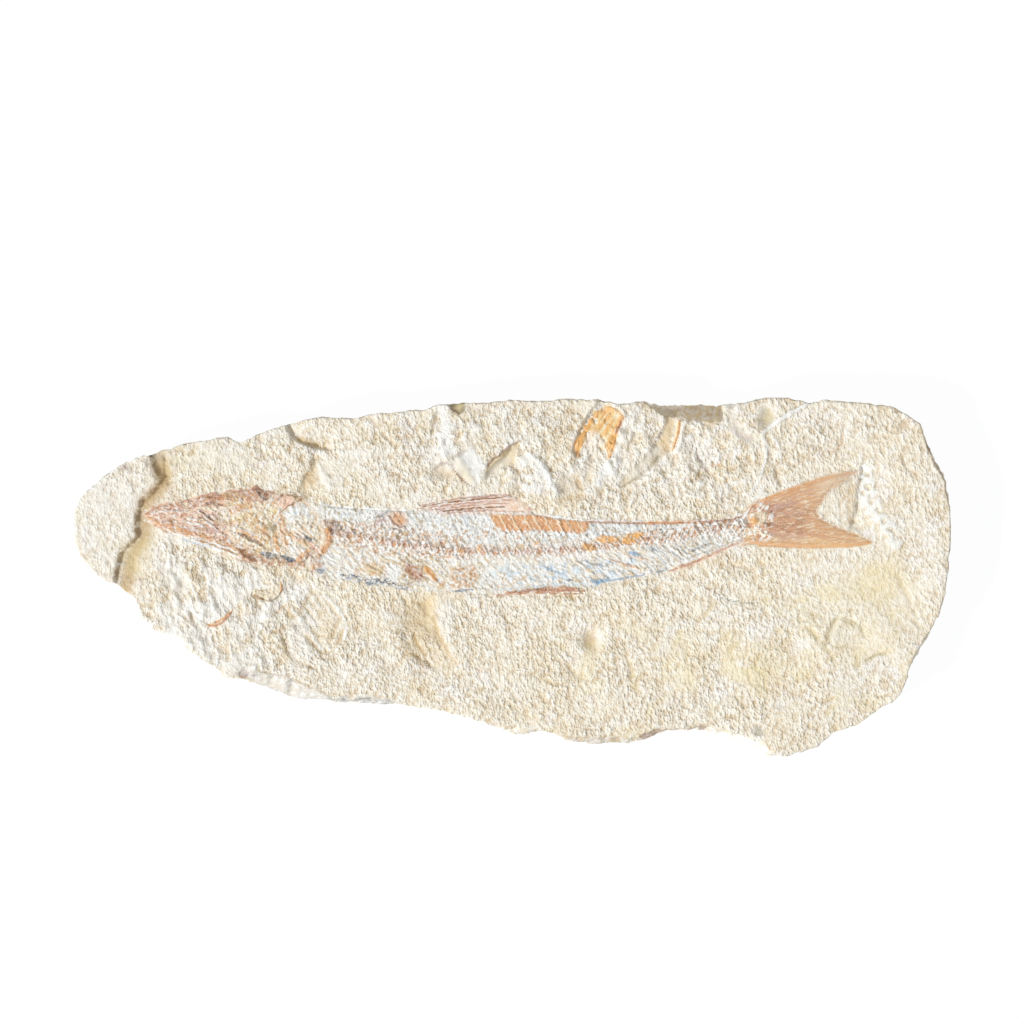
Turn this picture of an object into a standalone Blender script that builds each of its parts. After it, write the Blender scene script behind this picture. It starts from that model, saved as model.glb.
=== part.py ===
"""A fossil fish on its limestone slab.

A thin plaque of rough limestone, broken all round, carries the flattened skeleton of a slender fish:
skull, lower jaw, trunk with its backbone, four fins, and a few loose scraps of bone and shell. Each of
them is a thin plate that sits in a pocket of its own shape in the slab.

Metres, +Z up. The origin is at the bottom centre of the slab's bounding box. +X runs along the fish
to its tail, +Y to its back, and +Z out of the fossil face. Sizes below are in millimetres.
"""

from collections import namedtuple

import bmesh
import bpy
import numpy as np
from mathutils import Vector, noise

MM = 0.001

# Driving dimensions of the slab
BED_HEIGHT = 13.0  # the bedding plane that the fish lies on, over the flat back
FLAKE_RISE = 1.3  # the layer still left on the slab in front of the snout
SHARP_BREAK = 0.7  # width of the step down a fresh scarp
SWELL_RISE = 0.7  # gentle lumps of the rough face
SWELL_LENGTH = 9.0
CALM_REACH = 17.0  # the bedding plane is flat this far on either side of the fish
SLAB_CELLS = (60, 24)  # faces of the fossil face along X and Y
RIM_REACH = 3  # places of the outline over which its direction is averaged

# Driving dimensions of the bone plates
PLATE_EDGE = 0.08  # how far a plate's edge stands out of the slab
GAP = 0.3  # free space round and under each plate
POCKET_STEPS = 28  # past this many steps along an edge, a pocket follows every second one
CUTTER_TOP = 18.0  # any height clear of the fossil face
BACKBONE_RISE = 0.3
BACKBONE_WIDTH = 1.5
VERTEBRA_RISE = 0.25
RIB_RISE = 0.06
RIB_SPACING = 4.8
RIB_SLANT = 1.2  # how far a rib leans towards the tail for each millimetre from the backbone
RAY_RISE = 0.2
DORSAL_RAYS = 5
JAW_BONES = 3
KNOB_RISE = 0.45

# The slab's outline seen from above, in four edges. The third value is how far the rim of the
# fossil face is set back from the outline, which the broken side below it draws.
BELLY_EDGE = [
    (-89.9, -5.5, 0.8), (-89.5, -9.0, 0.8), (-86.5, -12.5, 0.8), (-82.5, -13.8, 0.8),
    (-80.0, -14.0, 0.8), (-78.5, -17.0, 0.8), (-73.5, -20.7, 0.8), (-70.2, -22.5, 0.8),
    (-69.8, -23.8, 0.9), (-66.0, -24.7, 1.2), (-64.0, -25.0, 2.6), (-60.0, -26.4, 3.8),
    (-54.0, -28.8, 4.2), (-50.0, -29.5, 3.7), (-46.0, -29.5, 2.0), (-43.0, -30.0, 1.4),
    (-36.0, -30.4, 2.0), (-30.0, -30.7, 1.9), (-27.0, -30.4, 0.7), (-16.0, -32.2, 0.8),
    (-5.0, -35.6, 0.8), (0.0, -37.8, 2.2), (3.0, -38.0, 1.7), (6.5, -37.5, 1.2),
    (10.0, -37.3, 0.8), (13.0, -39.3, 1.6), (15.0, -39.9, 2.0), (24.0, -40.3, 2.3),
    (27.0, -40.2, 2.1), (30.0, -39.1, 1.2), (32.0, -39.0, 2.3), (35.0, -37.6, 1.8),
    (38.0, -37.0, 1.1), (44.0, -36.7, 1.2), (47.0, -37.0, 2.0), (50.0, -38.2, 2.0),
    (54.0, -39.8, 2.4), (60.0, -42.3, 2.6), (62.0, -43.0, 1.6), (65.0, -43.25, 0.9),
    (69.0, -42.0, 0.8), (73.5, -40.6, 1.0), (77.0, -37.5, 0.8), (83.0, -35.3, 0.8),
    (87.0, -32.5, 0.8), (91.0, -30.0, 0.8), (93.0, -28.3, 0.8),
]
TAIL_EDGE = [
    (93.0, -28.3, 0.8), (95.3, -23.5, 1.0), (97.5, -18.5, 1.2), (100.8, -13.0, 1.0),
    (102.3, -10.0, 1.0), (103.5, -6.0, 0.9), (104.2, -3.0, 0.8), (105.3, 8.0, 0.8),
    (105.5, 16.0, 0.9), (105.0, 23.0, 1.4), (102.5, 27.5, 1.6), (100.0, 32.0, 1.2),
    (98.5, 36.5, 1.0),
]
BACK_EDGE = [
    (-88.8, 29.3, 0.8), (-87.4, 29.0, 0.8), (-84.6, 30.5, 0.8), (-83.0, 30.6, 0.8),
    (-78.8, 32.0, 0.8), (-69.0, 33.7, 0.8), (-65.8, 32.3, 0.8), (-62.0, 34.0, 0.8),
    (-57.0, 35.8, 0.8), (-52.5, 37.2, 0.8), (-46.0, 38.5, 0.8), (-38.5, 38.0, 0.8),
    (-35.7, 38.9, 0.8), (-32.8, 39.3, 0.8), (-21.0, 40.2, 0.8), (-18.0, 41.5, 0.8),
    (-5.0, 42.0, 0.8), (-1.0, 42.6, 0.8), (6.0, 42.3, 0.8), (14.0, 42.8, 0.8),
    (20.0, 42.6, 0.8), (26.0, 41.6, 0.8), (31.5, 42.3, 0.8), (33.5, 41.6, 1.4),
    (35.0, 41.5, 2.6), (38.0, 41.5, 3.2), (42.0, 41.7, 3.9), (46.0, 41.6, 4.6),
    (50.0, 41.4, 4.6), (51.5, 41.6, 2.6), (54.0, 41.8, 0.9), (56.0, 42.0, 0.8),
    (60.5, 43.2, 0.8), (66.0, 43.25, 0.8), (72.0, 41.8, 0.8), (74.5, 42.7, 0.8),
    (89.0, 41.4, 0.8), (91.0, 41.0, 0.8), (94.5, 39.2, 0.9), (98.5, 36.5, 1.0),
]
SNOUT_EDGE = [
    (-89.9, -5.5, 0.8), (-92.5, -4.0, 0.8), (-95.5, -1.3, 0.8), (-98.0, -0.8, 0.8),
    (-101.0, 1.5, 0.8), (-104.0, 5.5, 0.8), (-105.2, 8.0, 0.8), (-105.5, 13.0, 0.8),
    (-105.3, 16.5, 0.8), (-102.4, 20.6, 0.8), (-98.4, 24.2, 0.8), (-94.5, 26.8, 0.8),
    (-88.8, 29.3, 0.8),
]

# How the broken side falls from the rim to the back. Each ring is set in from the outline by a
# share of the rim's set-back and a fixed width, and lies at a height over the back, or below the
# rim where drop is set: a fixed depth and a share of the set-back.
WallRing = namedtuple("WallRing", "share inset drop drop_share height jitter")
WALL_RINGS = [
    WallRing(0.70, 0.0, 1.2, 0.5, None, 0.2),
    WallRing(0.00, 0.0, 3.4, 0.8, None, 0.0),
    WallRing(0.00, 1.1, None, None, 2.6, 1.2),
    WallRing(0.00, 2.6, None, None, 0.0, 1.2),
]
SIDE_GRAIN = 2.5  # how much finer the lumps of the broken side are than those of the fossil face
SIDE_SHIFT = 40.0  # sets each ring's lumps apart from the last one's

# Relief of the fossil face. A scarp drops to the left of its run, and the ground behind it comes
# back up over its reach. A groove or a ridge follows its run. A pit is an oval hollow.
Scarp = namedtuple("Scarp", "depth reach run")
Groove = namedtuple("Groove", "depth width run")
Pit = namedtuple("Pit", "depth centre radii")

FLAKE_SCARP = [
    (-87.2, 31.0), (-86.3, 26.0), (-84.4, 24.0), (-85.5, 21.5), (-88.0, 19.0), (-90.0, 17.0),
    (-90.4, 11.0), (-91.0, 8.5), (-93.5, 6.5), (-95.0, 3.0), (-96.4, -4.0),
]
SCARPS = {
    "chip_over_nape": Scarp(
        1.1, 8.0, [(-54.5, 37.5), (-53.5, 34.0), (-50.0, 32.0), (-45.0, 30.5)]
    ),
    "chip_behind_nape": Scarp(0.9, 6.0, [(-48.2, 28.0), (-48.0, 26.5), (-50.0, 24.5), (-51.0, 22.0)]),
    "round_chip": Scarp(1.1, 7.0, [(-14.8, 27.9), (-12.5, 25.0), (-10.0, 22.2)]),
    "crescent_pit": Scarp(
        1.2, 6.0, [(2.0, 32.5), (-2.0, 30.3), (-4.5, 28.5), (-6.0, 26.5), (-6.0, 24.0)]
    ),
    "rim_chip": Scarp(1.4, 5.0, [(-15.8, 41.9), (-15.2, 40.5), (-13.2, 38.9), (-11.4, 41.9)]),
    "scrap_hollow": Scarp(
        0.8, 12.0, [(19.5, 41.5), (17.5, 37.5), (15.0, 33.0), (14.4, 31.0), (15.4, 28.3)]
    ),
    "slanting_channel": Scarp(
        1.2, 5.5, [(36.8, 38.5), (36.3, 36.0), (34.0, 31.5), (29.0, 26.0), (26.3, 23.5)]
    ),
    "hollow_past_tail": Scarp(0.9, 9.0, [(83.2, 25.5), (82.7, 21.0), (82.0, 17.0), (81.5, 12.5)]),
}
GROOVES = {
    "trough_round_snout": Groove(
        0.7, 2.4,
        [(-84.6, 31.0), (-84.0, 25.0), (-83.6, 22.5), (-88.4, 17.5), (-88.6, 9.5), (-92.5, 4.0),
         (-93.6, -4.0)],
    ),
    "fold_by_trough": Groove(0.5, 0.8, [(-84.0, 30.0), (-83.3, 26.0), (-82.6, 21.8)]),
    "short_crack": Groove(0.6, 0.8, [(44.5, 29.0), (46.5, 26.5), (47.3, 24.5)]),
    "hooked_crack": Groove(
        0.5, 0.9, [(79.5, 37.5), (79.8, 34.0), (78.0, 31.0), (75.5, 30.3), (71.8, 31.8)]
    ),
    "shield_left": Groove(0.5, 0.8, [(78.5, -9.2), (77.0, -12.0), (76.0, -16.0), (77.5, -20.0)]),
    "shield_right": Groove(0.5, 0.8, [(79.0, -9.7), (83.5, -12.0), (85.0, -16.0)]),
    "crescent_scratch": Groove(0.5, 0.9, [(-26.5, -14.0), (-24.5, -18.0), (-20.0, -21.5)]),
    "twin_scratch": Groove(0.4, 0.8, [(12.5, -20.0), (14.0, -22.5), (16.5, -24.5)]),
    "far_scratch": Groove(0.4, 0.8, [(26.5, -17.0), (28.0, -20.5), (29.0, -24.0)]),
    "imprint_rib": Groove(0.5, 0.9, [(-56.0, -5.5), (-54.0, -9.0), (-52.5, -12.0)]),
    "imprint_foot": Groove(0.5, 0.9, [(-55.5, -14.5), (-52.0, -20.0), (-48.0, -22.0)]),
}
RIDGES = {
    "edge_ridge": Groove(0.5, 1.2, [(72.0, 41.5), (66.0, 40.0), (62.0, 36.5), (59.5, 33.0)]),
    "splinter_ridge": Groove(0.4, 0.8, [(41.6, 38.0), (40.4, 33.5), (39.2, 30.0)]),
    "imprint_rim": Groove(0.5, 1.1, [(-42.5, -7.0), (-40.0, -11.0), (-41.0, -15.5)]),
    "hollow_rim": Groove(0.5, 1.3, [(-14.5, -7.0), (-12.8, -13.0), (-13.5, -19.0)]),
    "slanting_ridge": Groove(0.4, 1.4, [(-82.0, 2.0), (-76.0, -5.0), (-71.0, -15.0)]),
    "front_ridge": Groove(0.35, 1.4, [(-74.0, 3.0), (-68.0, -5.0), (-64.0, -14.0)]),
}
PITS = {
    "shell_hollow": Pit(0.45, (-58.8, -2.4), (4.0, 3.4)),
    "imprint": Pit(0.7, (-46.5, -11.0), (6.0, 7.0)),
    "brown_hollow": Pit(0.8, (-21.5, -9.5), (5.0, 6.5)),
    "round_pit": Pit(0.9, (19.0, -15.0), (2.8, 2.8)),
    "small_pit": Pit(0.8, (-17.0, 25.8), (2.6, 2.0)),
    "rim_pit": Pit(0.8, (60.8, 38.3), (2.8, 3.2)),
    "corner_pit": Pit(0.5, (94.3, 36.5), (1.8, 1.8)),
    "star_pit": Pit(0.6, (59.5, -37.0), (1.9, 1.9)),
    "left_pit": Pit(0.5, (-80.0, -3.0), (2.2, 2.2)),
    "back_pit": Pit(0.5, (63.5, 24.5), (1.5, 2.2)),
}
FISH_AXIS = [(-88.0, 15.0), (-60.0, 12.0), (-30.0, 6.5), (0.0, 5.5), (40.0, 8.0), (86.0, 15.0)]
BACKBONE = [
    (-46.5, 10.2), (-36.9, 9.6), (-27.2, 8.2), (-15.2, 6.6), (-3.1, 6.0), (8.9, 6.6),
    (21.0, 7.4), (30.6, 8.9), (40.3, 10.0), (49.9, 11.7), (56.0, 12.6),
]

# Each plate lies between four edges, in the same order as the slab's. It rises by its crown over
# the bedding plane, and its depth is how far it reaches into the slab.
PlateShape = namedtuple("PlateShape", "belly tail back snout cells crown depth")
PLATES = {
    "skull": PlateShape(
        belly=[(-88.2, 14.2), (-84.0, 13.0), (-78.0, 11.3), (-70.0, 8.6), (-66.0, 7.4),
               (-61.4, 5.6), (-60.6, 3.2), (-53.4, 2.2), (-48.6, 1.5)],
        tail=[(-48.6, 1.5), (-46.9, 5.0), (-46.4, 9.0), (-46.0, 13.0), (-46.2, 17.2)],
        back=[(-88.4, 15.6), (-84.0, 17.5), (-78.9, 18.3), (-73.2, 19.8), (-67.6, 20.4),
              (-61.8, 21.6), (-57.0, 19.9), (-51.0, 18.7), (-46.2, 17.2)],
        snout=[(-88.2, 14.2), (-88.6, 14.9), (-88.4, 15.6)],
        cells=(28, 10), crown=0.35, depth=0.9,
    ),
    "lower_jaw": PlateShape(
        belly=[(-85.8, 12.7), (-81.7, 10.4), (-74.7, 7.9), (-67.6, 4.9), (-61.2, 2.9)],
        tail=[(-61.2, 2.9), (-61.2, 3.9), (-61.8, 5.2)],
        back=[(-86.0, 13.2), (-82.0, 11.9), (-78.0, 10.8), (-70.0, 8.1), (-66.0, 6.9),
              (-61.8, 5.2)],
        snout=[(-85.8, 12.7), (-86.0, 13.2)],
        cells=(16, 6), crown=0.3, depth=0.7,
    ),
    "trunk": PlateShape(
        belly=[(-48.2, 1.3), (-41.0, -0.5), (-33.0, -1.6), (-27.2, -2.8), (-17.6, -3.4),
               (-7.0, -3.4), (0.0, -2.9), (8.0, -1.8), (16.0, -2.0), (20.0, -1.9), (27.0, -0.8),
               (31.0, 0.3), (36.0, 1.5), (40.0, 3.4), (46.0, 5.7), (51.0, 8.0), (54.0, 9.5)],
        tail=[(54.0, 9.5), (54.6, 12.0), (53.8, 13.9)],
        back=[(-45.8, 17.0), (-41.7, 16.6), (-32.1, 15.9), (-24.5, 15.8), (-16.0, 15.1),
              (-5.5, 15.0), (5.0, 15.0), (11.3, 14.4), (21.0, 13.6), (33.0, 13.4),
              (45.1, 13.5), (53.8, 13.9)],
        snout=[(-48.2, 1.3), (-46.5, 5.0), (-46.0, 9.0), (-45.6, 13.0), (-45.8, 17.0)],
        cells=(84, 8), crown=0.22, depth=0.8,
    ),
    "dorsal_fin": PlateShape(
        belly=[(-22.9, 16.6), (-16.3, 15.6), (-5.5, 15.5), (4.9, 15.5)],
        tail=[(4.9, 15.5), (4.6, 16.6), (2.0, 18.6)],
        back=[(-23.2, 17.2), (-16.0, 18.4), (-11.3, 19.2), (-2.8, 20.0), (2.0, 18.6)],
        snout=[(-22.9, 16.6), (-23.2, 17.2)],
        cells=(16, 10), crown=0.25, depth=0.65,
    ),
    "pelvic_fin": PlateShape(
        belly=[(-4.5, -4.7), (0.0, -4.4), (8.0, -4.2), (17.5, -4.3)],
        tail=[(17.5, -4.3), (18.2, -3.4)],
        back=[(-4.7, -4.1), (0.0, -3.4), (4.0, -2.8), (8.0, -2.3), (16.0, -2.5), (18.2, -3.4)],
        snout=[(-4.5, -4.7), (-4.7, -4.1)],
        cells=(14, 4), crown=0.3, depth=0.7,
    ),
    "anal_fin": PlateShape(
        belly=[(37.2, 1.0), (42.0, 2.5), (48.0, 4.7), (54.4, 7.9)],
        tail=[(54.4, 7.9), (54.2, 8.9)],
        back=[(37.0, 1.5), (40.0, 2.9), (46.0, 5.2), (51.0, 7.5), (54.2, 8.9)],
        snout=[(37.2, 1.0), (37.0, 1.5)],
        cells=(14, 3), crown=0.3, depth=0.7,
    ),
    "tail_fin": PlateShape(
        belly=[(54.6, 9.3), (57.0, 8.2), (60.0, 7.5), (70.0, 7.0), (82.0, 7.3), (87.2, 8.3)],
        tail=[(87.2, 8.3), (84.0, 9.8), (78.0, 12.0), (72.6, 15.0), (75.0, 19.5), (79.0, 22.8),
              (83.6, 25.8)],
        back=[(54.4, 14.3), (56.0, 16.9), (60.0, 18.7), (68.0, 21.8), (76.0, 24.5),
              (83.6, 25.8)],
        snout=[(54.6, 9.3), (55.0, 12.0), (54.4, 14.3)],
        cells=(13, 16), crown=0.25, depth=0.74,
    ),
    "fin_scrap": PlateShape(
        belly=[(15.4, 29.0), (16.4, 28.9), (17.0, 31.2), (19.0, 32.0), (21.8, 31.8),
               (22.4, 28.9), (23.4, 28.4)],
        tail=[(23.4, 28.4), (24.2, 31.0), (25.2, 35.0), (26.9, 38.4)],
        back=[(20.4, 39.6), (22.0, 40.9), (24.5, 40.9), (26.9, 38.4)],
        snout=[(15.4, 29.0), (14.9, 31.2), (16.6, 34.0), (18.6, 36.8), (20.4, 39.6)],
        cells=(8, 8), crown=0.3, depth=1.7,
    ),
    "bone_splinter": PlateShape(
        belly=[(38.0, 30.3), (38.5, 30.2)],
        tail=[(38.5, 30.2), (39.9, 34.0), (40.5, 37.6)],
        back=[(39.2, 37.8), (40.5, 37.6)],
        snout=[(38.0, 30.3), (38.7, 34.0), (39.2, 37.8)],
        cells=(3, 8), crown=0.3, depth=1.8,
    ),
    "bone_sliver": PlateShape(
        belly=[(-73.8, -11.5), (-72.0, -12.0), (-70.3, -11.4), (-68.4, -9.7)],
        tail=[(-68.4, -9.7), (-68.6, -9.2)],
        back=[(-73.7, -10.9), (-72.0, -10.9), (-70.5, -10.2), (-68.6, -9.2)],
        snout=[(-73.8, -11.5), (-73.7, -10.9)],
        cells=(9, 3), crown=0.3, depth=0.7,
    ),
    "shell": PlateShape(
        belly=[(-62.4, -4.3), (-60.5, -5.6), (-58.5, -5.9), (-56.6, -5.0), (-55.6, -3.2)],
        tail=[(-55.6, -3.2), (-55.5, -2.0), (-56.0, -0.8)],
        back=[(-62.0, -2.8), (-60.4, -3.2), (-58.6, -2.8), (-57.2, -1.8), (-56.0, -0.8)],
        snout=[(-62.4, -4.3), (-62.0, -2.8)],
        cells=(10, 5), crown=0.3, depth=1.4,
    ),
}
SKULL_RIDGES = {
    "brow": Groove(0.25, 0.9, [(-87.5, 15.8), (-79.0, 16.6), (-70.0, 17.4), (-60.0, 19.6)]),
    "cheek_strut": Groove(0.25, 0.8, [(-75.0, 15.6), (-72.0, 13.6), (-66.0, 11.6), (-59.5, 8.8)]),
    "gill_cover_rim": Groove(0.30, 0.9, [(-48.6, 16.6), (-46.9, 12.5), (-46.9, 8.0), (-50.5, 3.6)]),
    "gill_ray_upper": Groove(0.20, 0.7, [(-56.0, 13.0), (-52.5, 9.6), (-48.6, 7.8)]),
    "gill_ray_lower": Groove(0.20, 0.7, [(-58.5, 15.0), (-56.0, 9.0), (-55.0, 4.5)]),
}
SKULL_PITS = {
    "eye_socket": Pit(0.35, (-69.6, 14.8), (2.6, 2.2)),
    "cheek_hollow": Pit(0.30, (-57.4, 12.2), (1.6, 1.8)),
    "gill_hollow": Pit(0.25, (-52.2, 6.3), (1.9, 1.7)),
}

TAIL_KNOB = Pit(KNOB_RISE, (57.5, 13.2), (2.2, 1.8))

# Colour (sRGB), roughness and metallic value
STONE = ((0.90, 0.87, 0.80), 0.95, 0.0)
RED_BONE = ((0.72, 0.50, 0.38), 0.70, 0.0)
ORANGE_BONE = ((0.82, 0.58, 0.36), 0.60, 0.0)
WHITE_BONE = ((0.84, 0.83, 0.79), 0.75, 0.0)
HORN_SHELL = ((0.80, 0.70, 0.52), 0.45, 0.0)
FINISHES = {
    "limestone_slab": STONE,
    "skull": RED_BONE,
    "lower_jaw": ORANGE_BONE,
    "trunk": WHITE_BONE,
    "dorsal_fin": RED_BONE,
    "pelvic_fin": RED_BONE,
    "anal_fin": RED_BONE,
    "tail_fin": ORANGE_BONE,
    "fin_scrap": ORANGE_BONE,
    "bone_splinter": ORANGE_BONE,
    "bone_sliver": ORANGE_BONE,
    "shell": HORN_SHELL,
}


# Places on runs and patches


def along(run, count):
    """count + 1 places at even steps along a run of points, ends included."""
    run = np.array(run, float)
    steps = np.hypot(*np.diff(run[:, :2], axis=0).T)
    travelled = np.concatenate([[0.0], np.cumsum(steps)])
    wanted = np.linspace(0.0, travelled[-1], count + 1)
    return np.column_stack([np.interp(wanted, travelled, column) for column in run.T])


def loop_of(shape, cells):
    """The closed loop of places round a shape, counter-clockwise from its snout-belly corner."""
    columns, rows = cells
    return np.concatenate([
        along(shape[0], columns)[:-1],
        along(shape[1], rows)[:-1],
        along(shape[2], columns)[:0:-1],
        along(shape[3], rows)[:0:-1],
    ])


def inward(loop, reach):
    """Unit vectors into the shape at each place of a counter-clockwise loop, averaged over its
    neighbours up to reach places away."""
    run = np.roll(loop[:, :2], -reach, axis=0) - np.roll(loop[:, :2], reach, axis=0)
    run /= np.hypot(*run.T)[:, None]
    return np.column_stack([-run[:, 1], run[:, 0]])


def filled(loop, cells):
    """A grid of places [column, row] that fills a loop, by blending its four sides (a Coons patch)."""
    columns, rows = cells
    belly = loop[: columns + 1]
    tail = loop[columns: columns + rows + 1]
    back = loop[columns + rows: 2 * columns + rows + 1][::-1]
    snout = np.concatenate([loop[2 * columns + rows:], loop[:1]])[::-1]
    u = np.linspace(0.0, 1.0, columns + 1)[:, None, None]
    v = np.linspace(0.0, 1.0, rows + 1)[None, :, None]
    across = (1 - v) * belly[:, None] + v * back[:, None]
    lengthwise = (1 - u) * snout[None] + u * tail[None]
    corners = (
        (1 - u) * (1 - v) * belly[0] + u * (1 - v) * belly[-1]
        + (1 - u) * v * back[0] + u * v * back[-1]
    )
    return across + lengthwise - corners


def distance_to(run, x, y):
    """Distance from each place to a run of points, positive to the left of the run."""
    nearest = np.full(x.shape, np.inf)
    side = np.ones(x.shape)
    for (ax, ay), (bx, by) in zip(run[:-1], run[1:]):
        dx, dy = bx - ax, by - ay
        share = np.clip(((x - ax) * dx + (y - ay) * dy) / (dx * dx + dy * dy), 0.0, 1.0)
        away = np.hypot(x - ax - share * dx, y - ay - share * dy)
        closer = away < nearest
        nearest = np.where(closer, away, nearest)
        side = np.where(closer, np.sign(dx * (y - ay) - dy * (x - ax)), side)
    return nearest * side


def eased(share):
    """A smooth step from 0 to 1."""
    share = np.clip(share, 0.0, 1.0)
    return share * share * (3.0 - 2.0 * share)


# Relief


def scarp_drop(scarp, x, y):
    behind = distance_to(scarp.run, x, y)
    return scarp.depth * eased(behind / SHARP_BREAK + 0.5) * (1.0 - eased(behind / scarp.reach))


def groove_depth(groove, x, y):
    return groove.depth * np.exp(-((distance_to(groove.run, x, y) / groove.width) ** 2))


def pit_depth(pit, x, y):
    """A hollow with a rounded floor that fades out past its radii."""
    away = np.hypot((x - pit.centre[0]) / pit.radii[0], (y - pit.centre[1]) / pit.radii[1])
    return pit.depth * np.exp(-(away ** 3))


def swell(x, y):
    """A slow, even noise between about -1 and 1."""
    places = np.stack([x / SWELL_LENGTH, y / SWELL_LENGTH], axis=-1).reshape(-1, 2)
    return np.array([noise.noise(Vector((*place, 0.5))) for place in places]).reshape(np.shape(x))


def bed_height(x, y):
    """Height of the fossil face over the back, before the bone plates."""
    calm = np.exp(-((distance_to(FISH_AXIS, x, y) / CALM_REACH) ** 4))
    height = BED_HEIGHT + SWELL_RISE * swell(x, y) * (1.0 - calm)
    height += FLAKE_RISE * eased(0.5 - distance_to(FLAKE_SCARP, x, y) / SHARP_BREAK)
    height -= sum(scarp_drop(scarp, x, y) for scarp in SCARPS.values())
    height -= sum(groove_depth(groove, x, y) for groove in GROOVES.values())
    height += sum(groove_depth(ridge, x, y) for ridge in RIDGES.values())
    height -= sum(pit_depth(pit, x, y) for pit in PITS.values())
    return height


# Each relief function gives how far a plate rises over its own crown at (x, y), or dips below it
# where negative. The shares u and v run along the plate and across it.


def skull_relief(x, y, u, v):
    """Struts and rims of the crushed bones, and the hollows between them."""
    ridges = sum(groove_depth(ridge, x, y) for ridge in SKULL_RIDGES.values())
    return ridges - sum(pit_depth(pit, x, y) for pit in SKULL_PITS.values())


def jaw_relief(x, y, u, v):
    """Long bones lie side by side."""
    return RAY_RISE * (0.5 - 0.5 * np.cos(2.0 * np.pi * JAW_BONES * v))


def trunk_relief(x, y, u, v):
    """Vertebrae, two cells long, stand out along the backbone. Ribs slant away on both sides."""
    off_backbone = distance_to(BACKBONE, x, y)
    beads = 0.5 + 0.5 * np.cos(np.pi * PLATES["trunk"].cells[0] * u)
    backbone = np.exp(-((off_backbone / BACKBONE_WIDTH) ** 2))
    ribs = np.cos(2.0 * np.pi * (x + RIB_SLANT * np.abs(off_backbone)) / RIB_SPACING)
    return (BACKBONE_RISE + VERTEBRA_RISE * beads) * backbone + RIB_RISE * ribs * (1.0 - backbone)


def dorsal_relief(x, y, u, v):
    """Fin rays run the length of the plate."""
    return RAY_RISE * (0.5 - 0.5 * np.cos(2.0 * np.pi * DORSAL_RAYS * v))


def tail_relief(x, y, u, v):
    """The rays, one to every second row of cells, fan out from a knob where the backbone ends."""
    rays = 0.5 - 0.5 * np.cos(np.pi * PLATES["tail_fin"].cells[1] * v)
    return RAY_RISE * rays + pit_depth(TAIL_KNOB, x, y)


RELIEFS = {
    "skull": skull_relief,
    "lower_jaw": jaw_relief,
    "trunk": trunk_relief,
    "dorsal_fin": dorsal_relief,
    "tail_fin": tail_relief,
}


def plate_height(name, places, u, v):
    """Height of a plate's top: it grows from its edge to its crown, with its own relief on that."""
    x, y = places[..., 0], places[..., 1]
    inside = eased(32.0 * u * (1.0 - u) * v * (1.0 - v))
    rise = PLATE_EDGE + inside * (PLATES[name].crown - PLATE_EDGE)
    if name in RELIEFS:
        rise = rise + RELIEFS[name](x, y, u, v)
    return bed_height(x, y) + np.maximum(rise, PLATE_EDGE)


# Solids


def to_metres(place, height):
    return Vector((place[0] * MM, place[1] * MM, height * MM))


def numbered_grid(bm, grid, heights):
    """A sheet of faces moved to a grid of places. Its outer vertices are numbered round the loop,
    so that what is extruded from them keeps those numbers."""
    columns, rows = grid.shape[0] - 1, grid.shape[1] - 1
    bmesh.ops.create_grid(bm, x_segments=columns, y_segments=rows, size=1.0)
    number = bm.verts.layers.int.new("loop")
    for vert in bm.verts:
        i = round((vert.co.x + 1.0) / 2.0 * columns)
        j = round((vert.co.y + 1.0) / 2.0 * rows)
        vert.co = to_metres(grid[i, j], heights[i, j])
        if j == 0:
            vert[number] = i
        elif i == columns:
            vert[number] = columns + j
        elif j == rows:
            vert[number] = 2 * columns + rows - i
        else:
            vert[number] = 2 * (columns + rows) - j


def extruded_ring(bm, edges, places, heights):
    """Extrudes a loop of edges and moves the new vertices to their numbered places."""
    grown = bmesh.ops.extrude_edge_only(bm, edges=edges)["geom"]
    number = bm.verts.layers.int["loop"]
    for vert in [item for item in grown if isinstance(item, bmesh.types.BMVert)]:
        vert.co = to_metres(places[vert[number]], heights[vert[number]])
    return [item for item in grown if isinstance(item, bmesh.types.BMEdge)]


def finish_of(name):
    """The piece's own material."""
    colour, roughness, metallic = FINISHES[name]
    material = bpy.data.materials.new(name)
    material.use_nodes = True
    shader = material.node_tree.nodes["Principled BSDF"]
    linear = [channel ** 2.2 for channel in colour]
    shader.inputs["Base Color"].default_value = (*linear, 1.0)
    shader.inputs["Roughness"].default_value = roughness
    shader.inputs["Metallic"].default_value = metallic
    material.diffuse_color = (*linear, 1.0)
    return material


def object_from(bm, name, collection):
    bmesh.ops.recalc_face_normals(bm, faces=bm.faces)
    mesh = bpy.data.meshes.new(name)
    bm.to_mesh(mesh)
    bm.free()
    item = bpy.data.objects.new(name, mesh)
    collection.objects.link(item)
    return item


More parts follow.
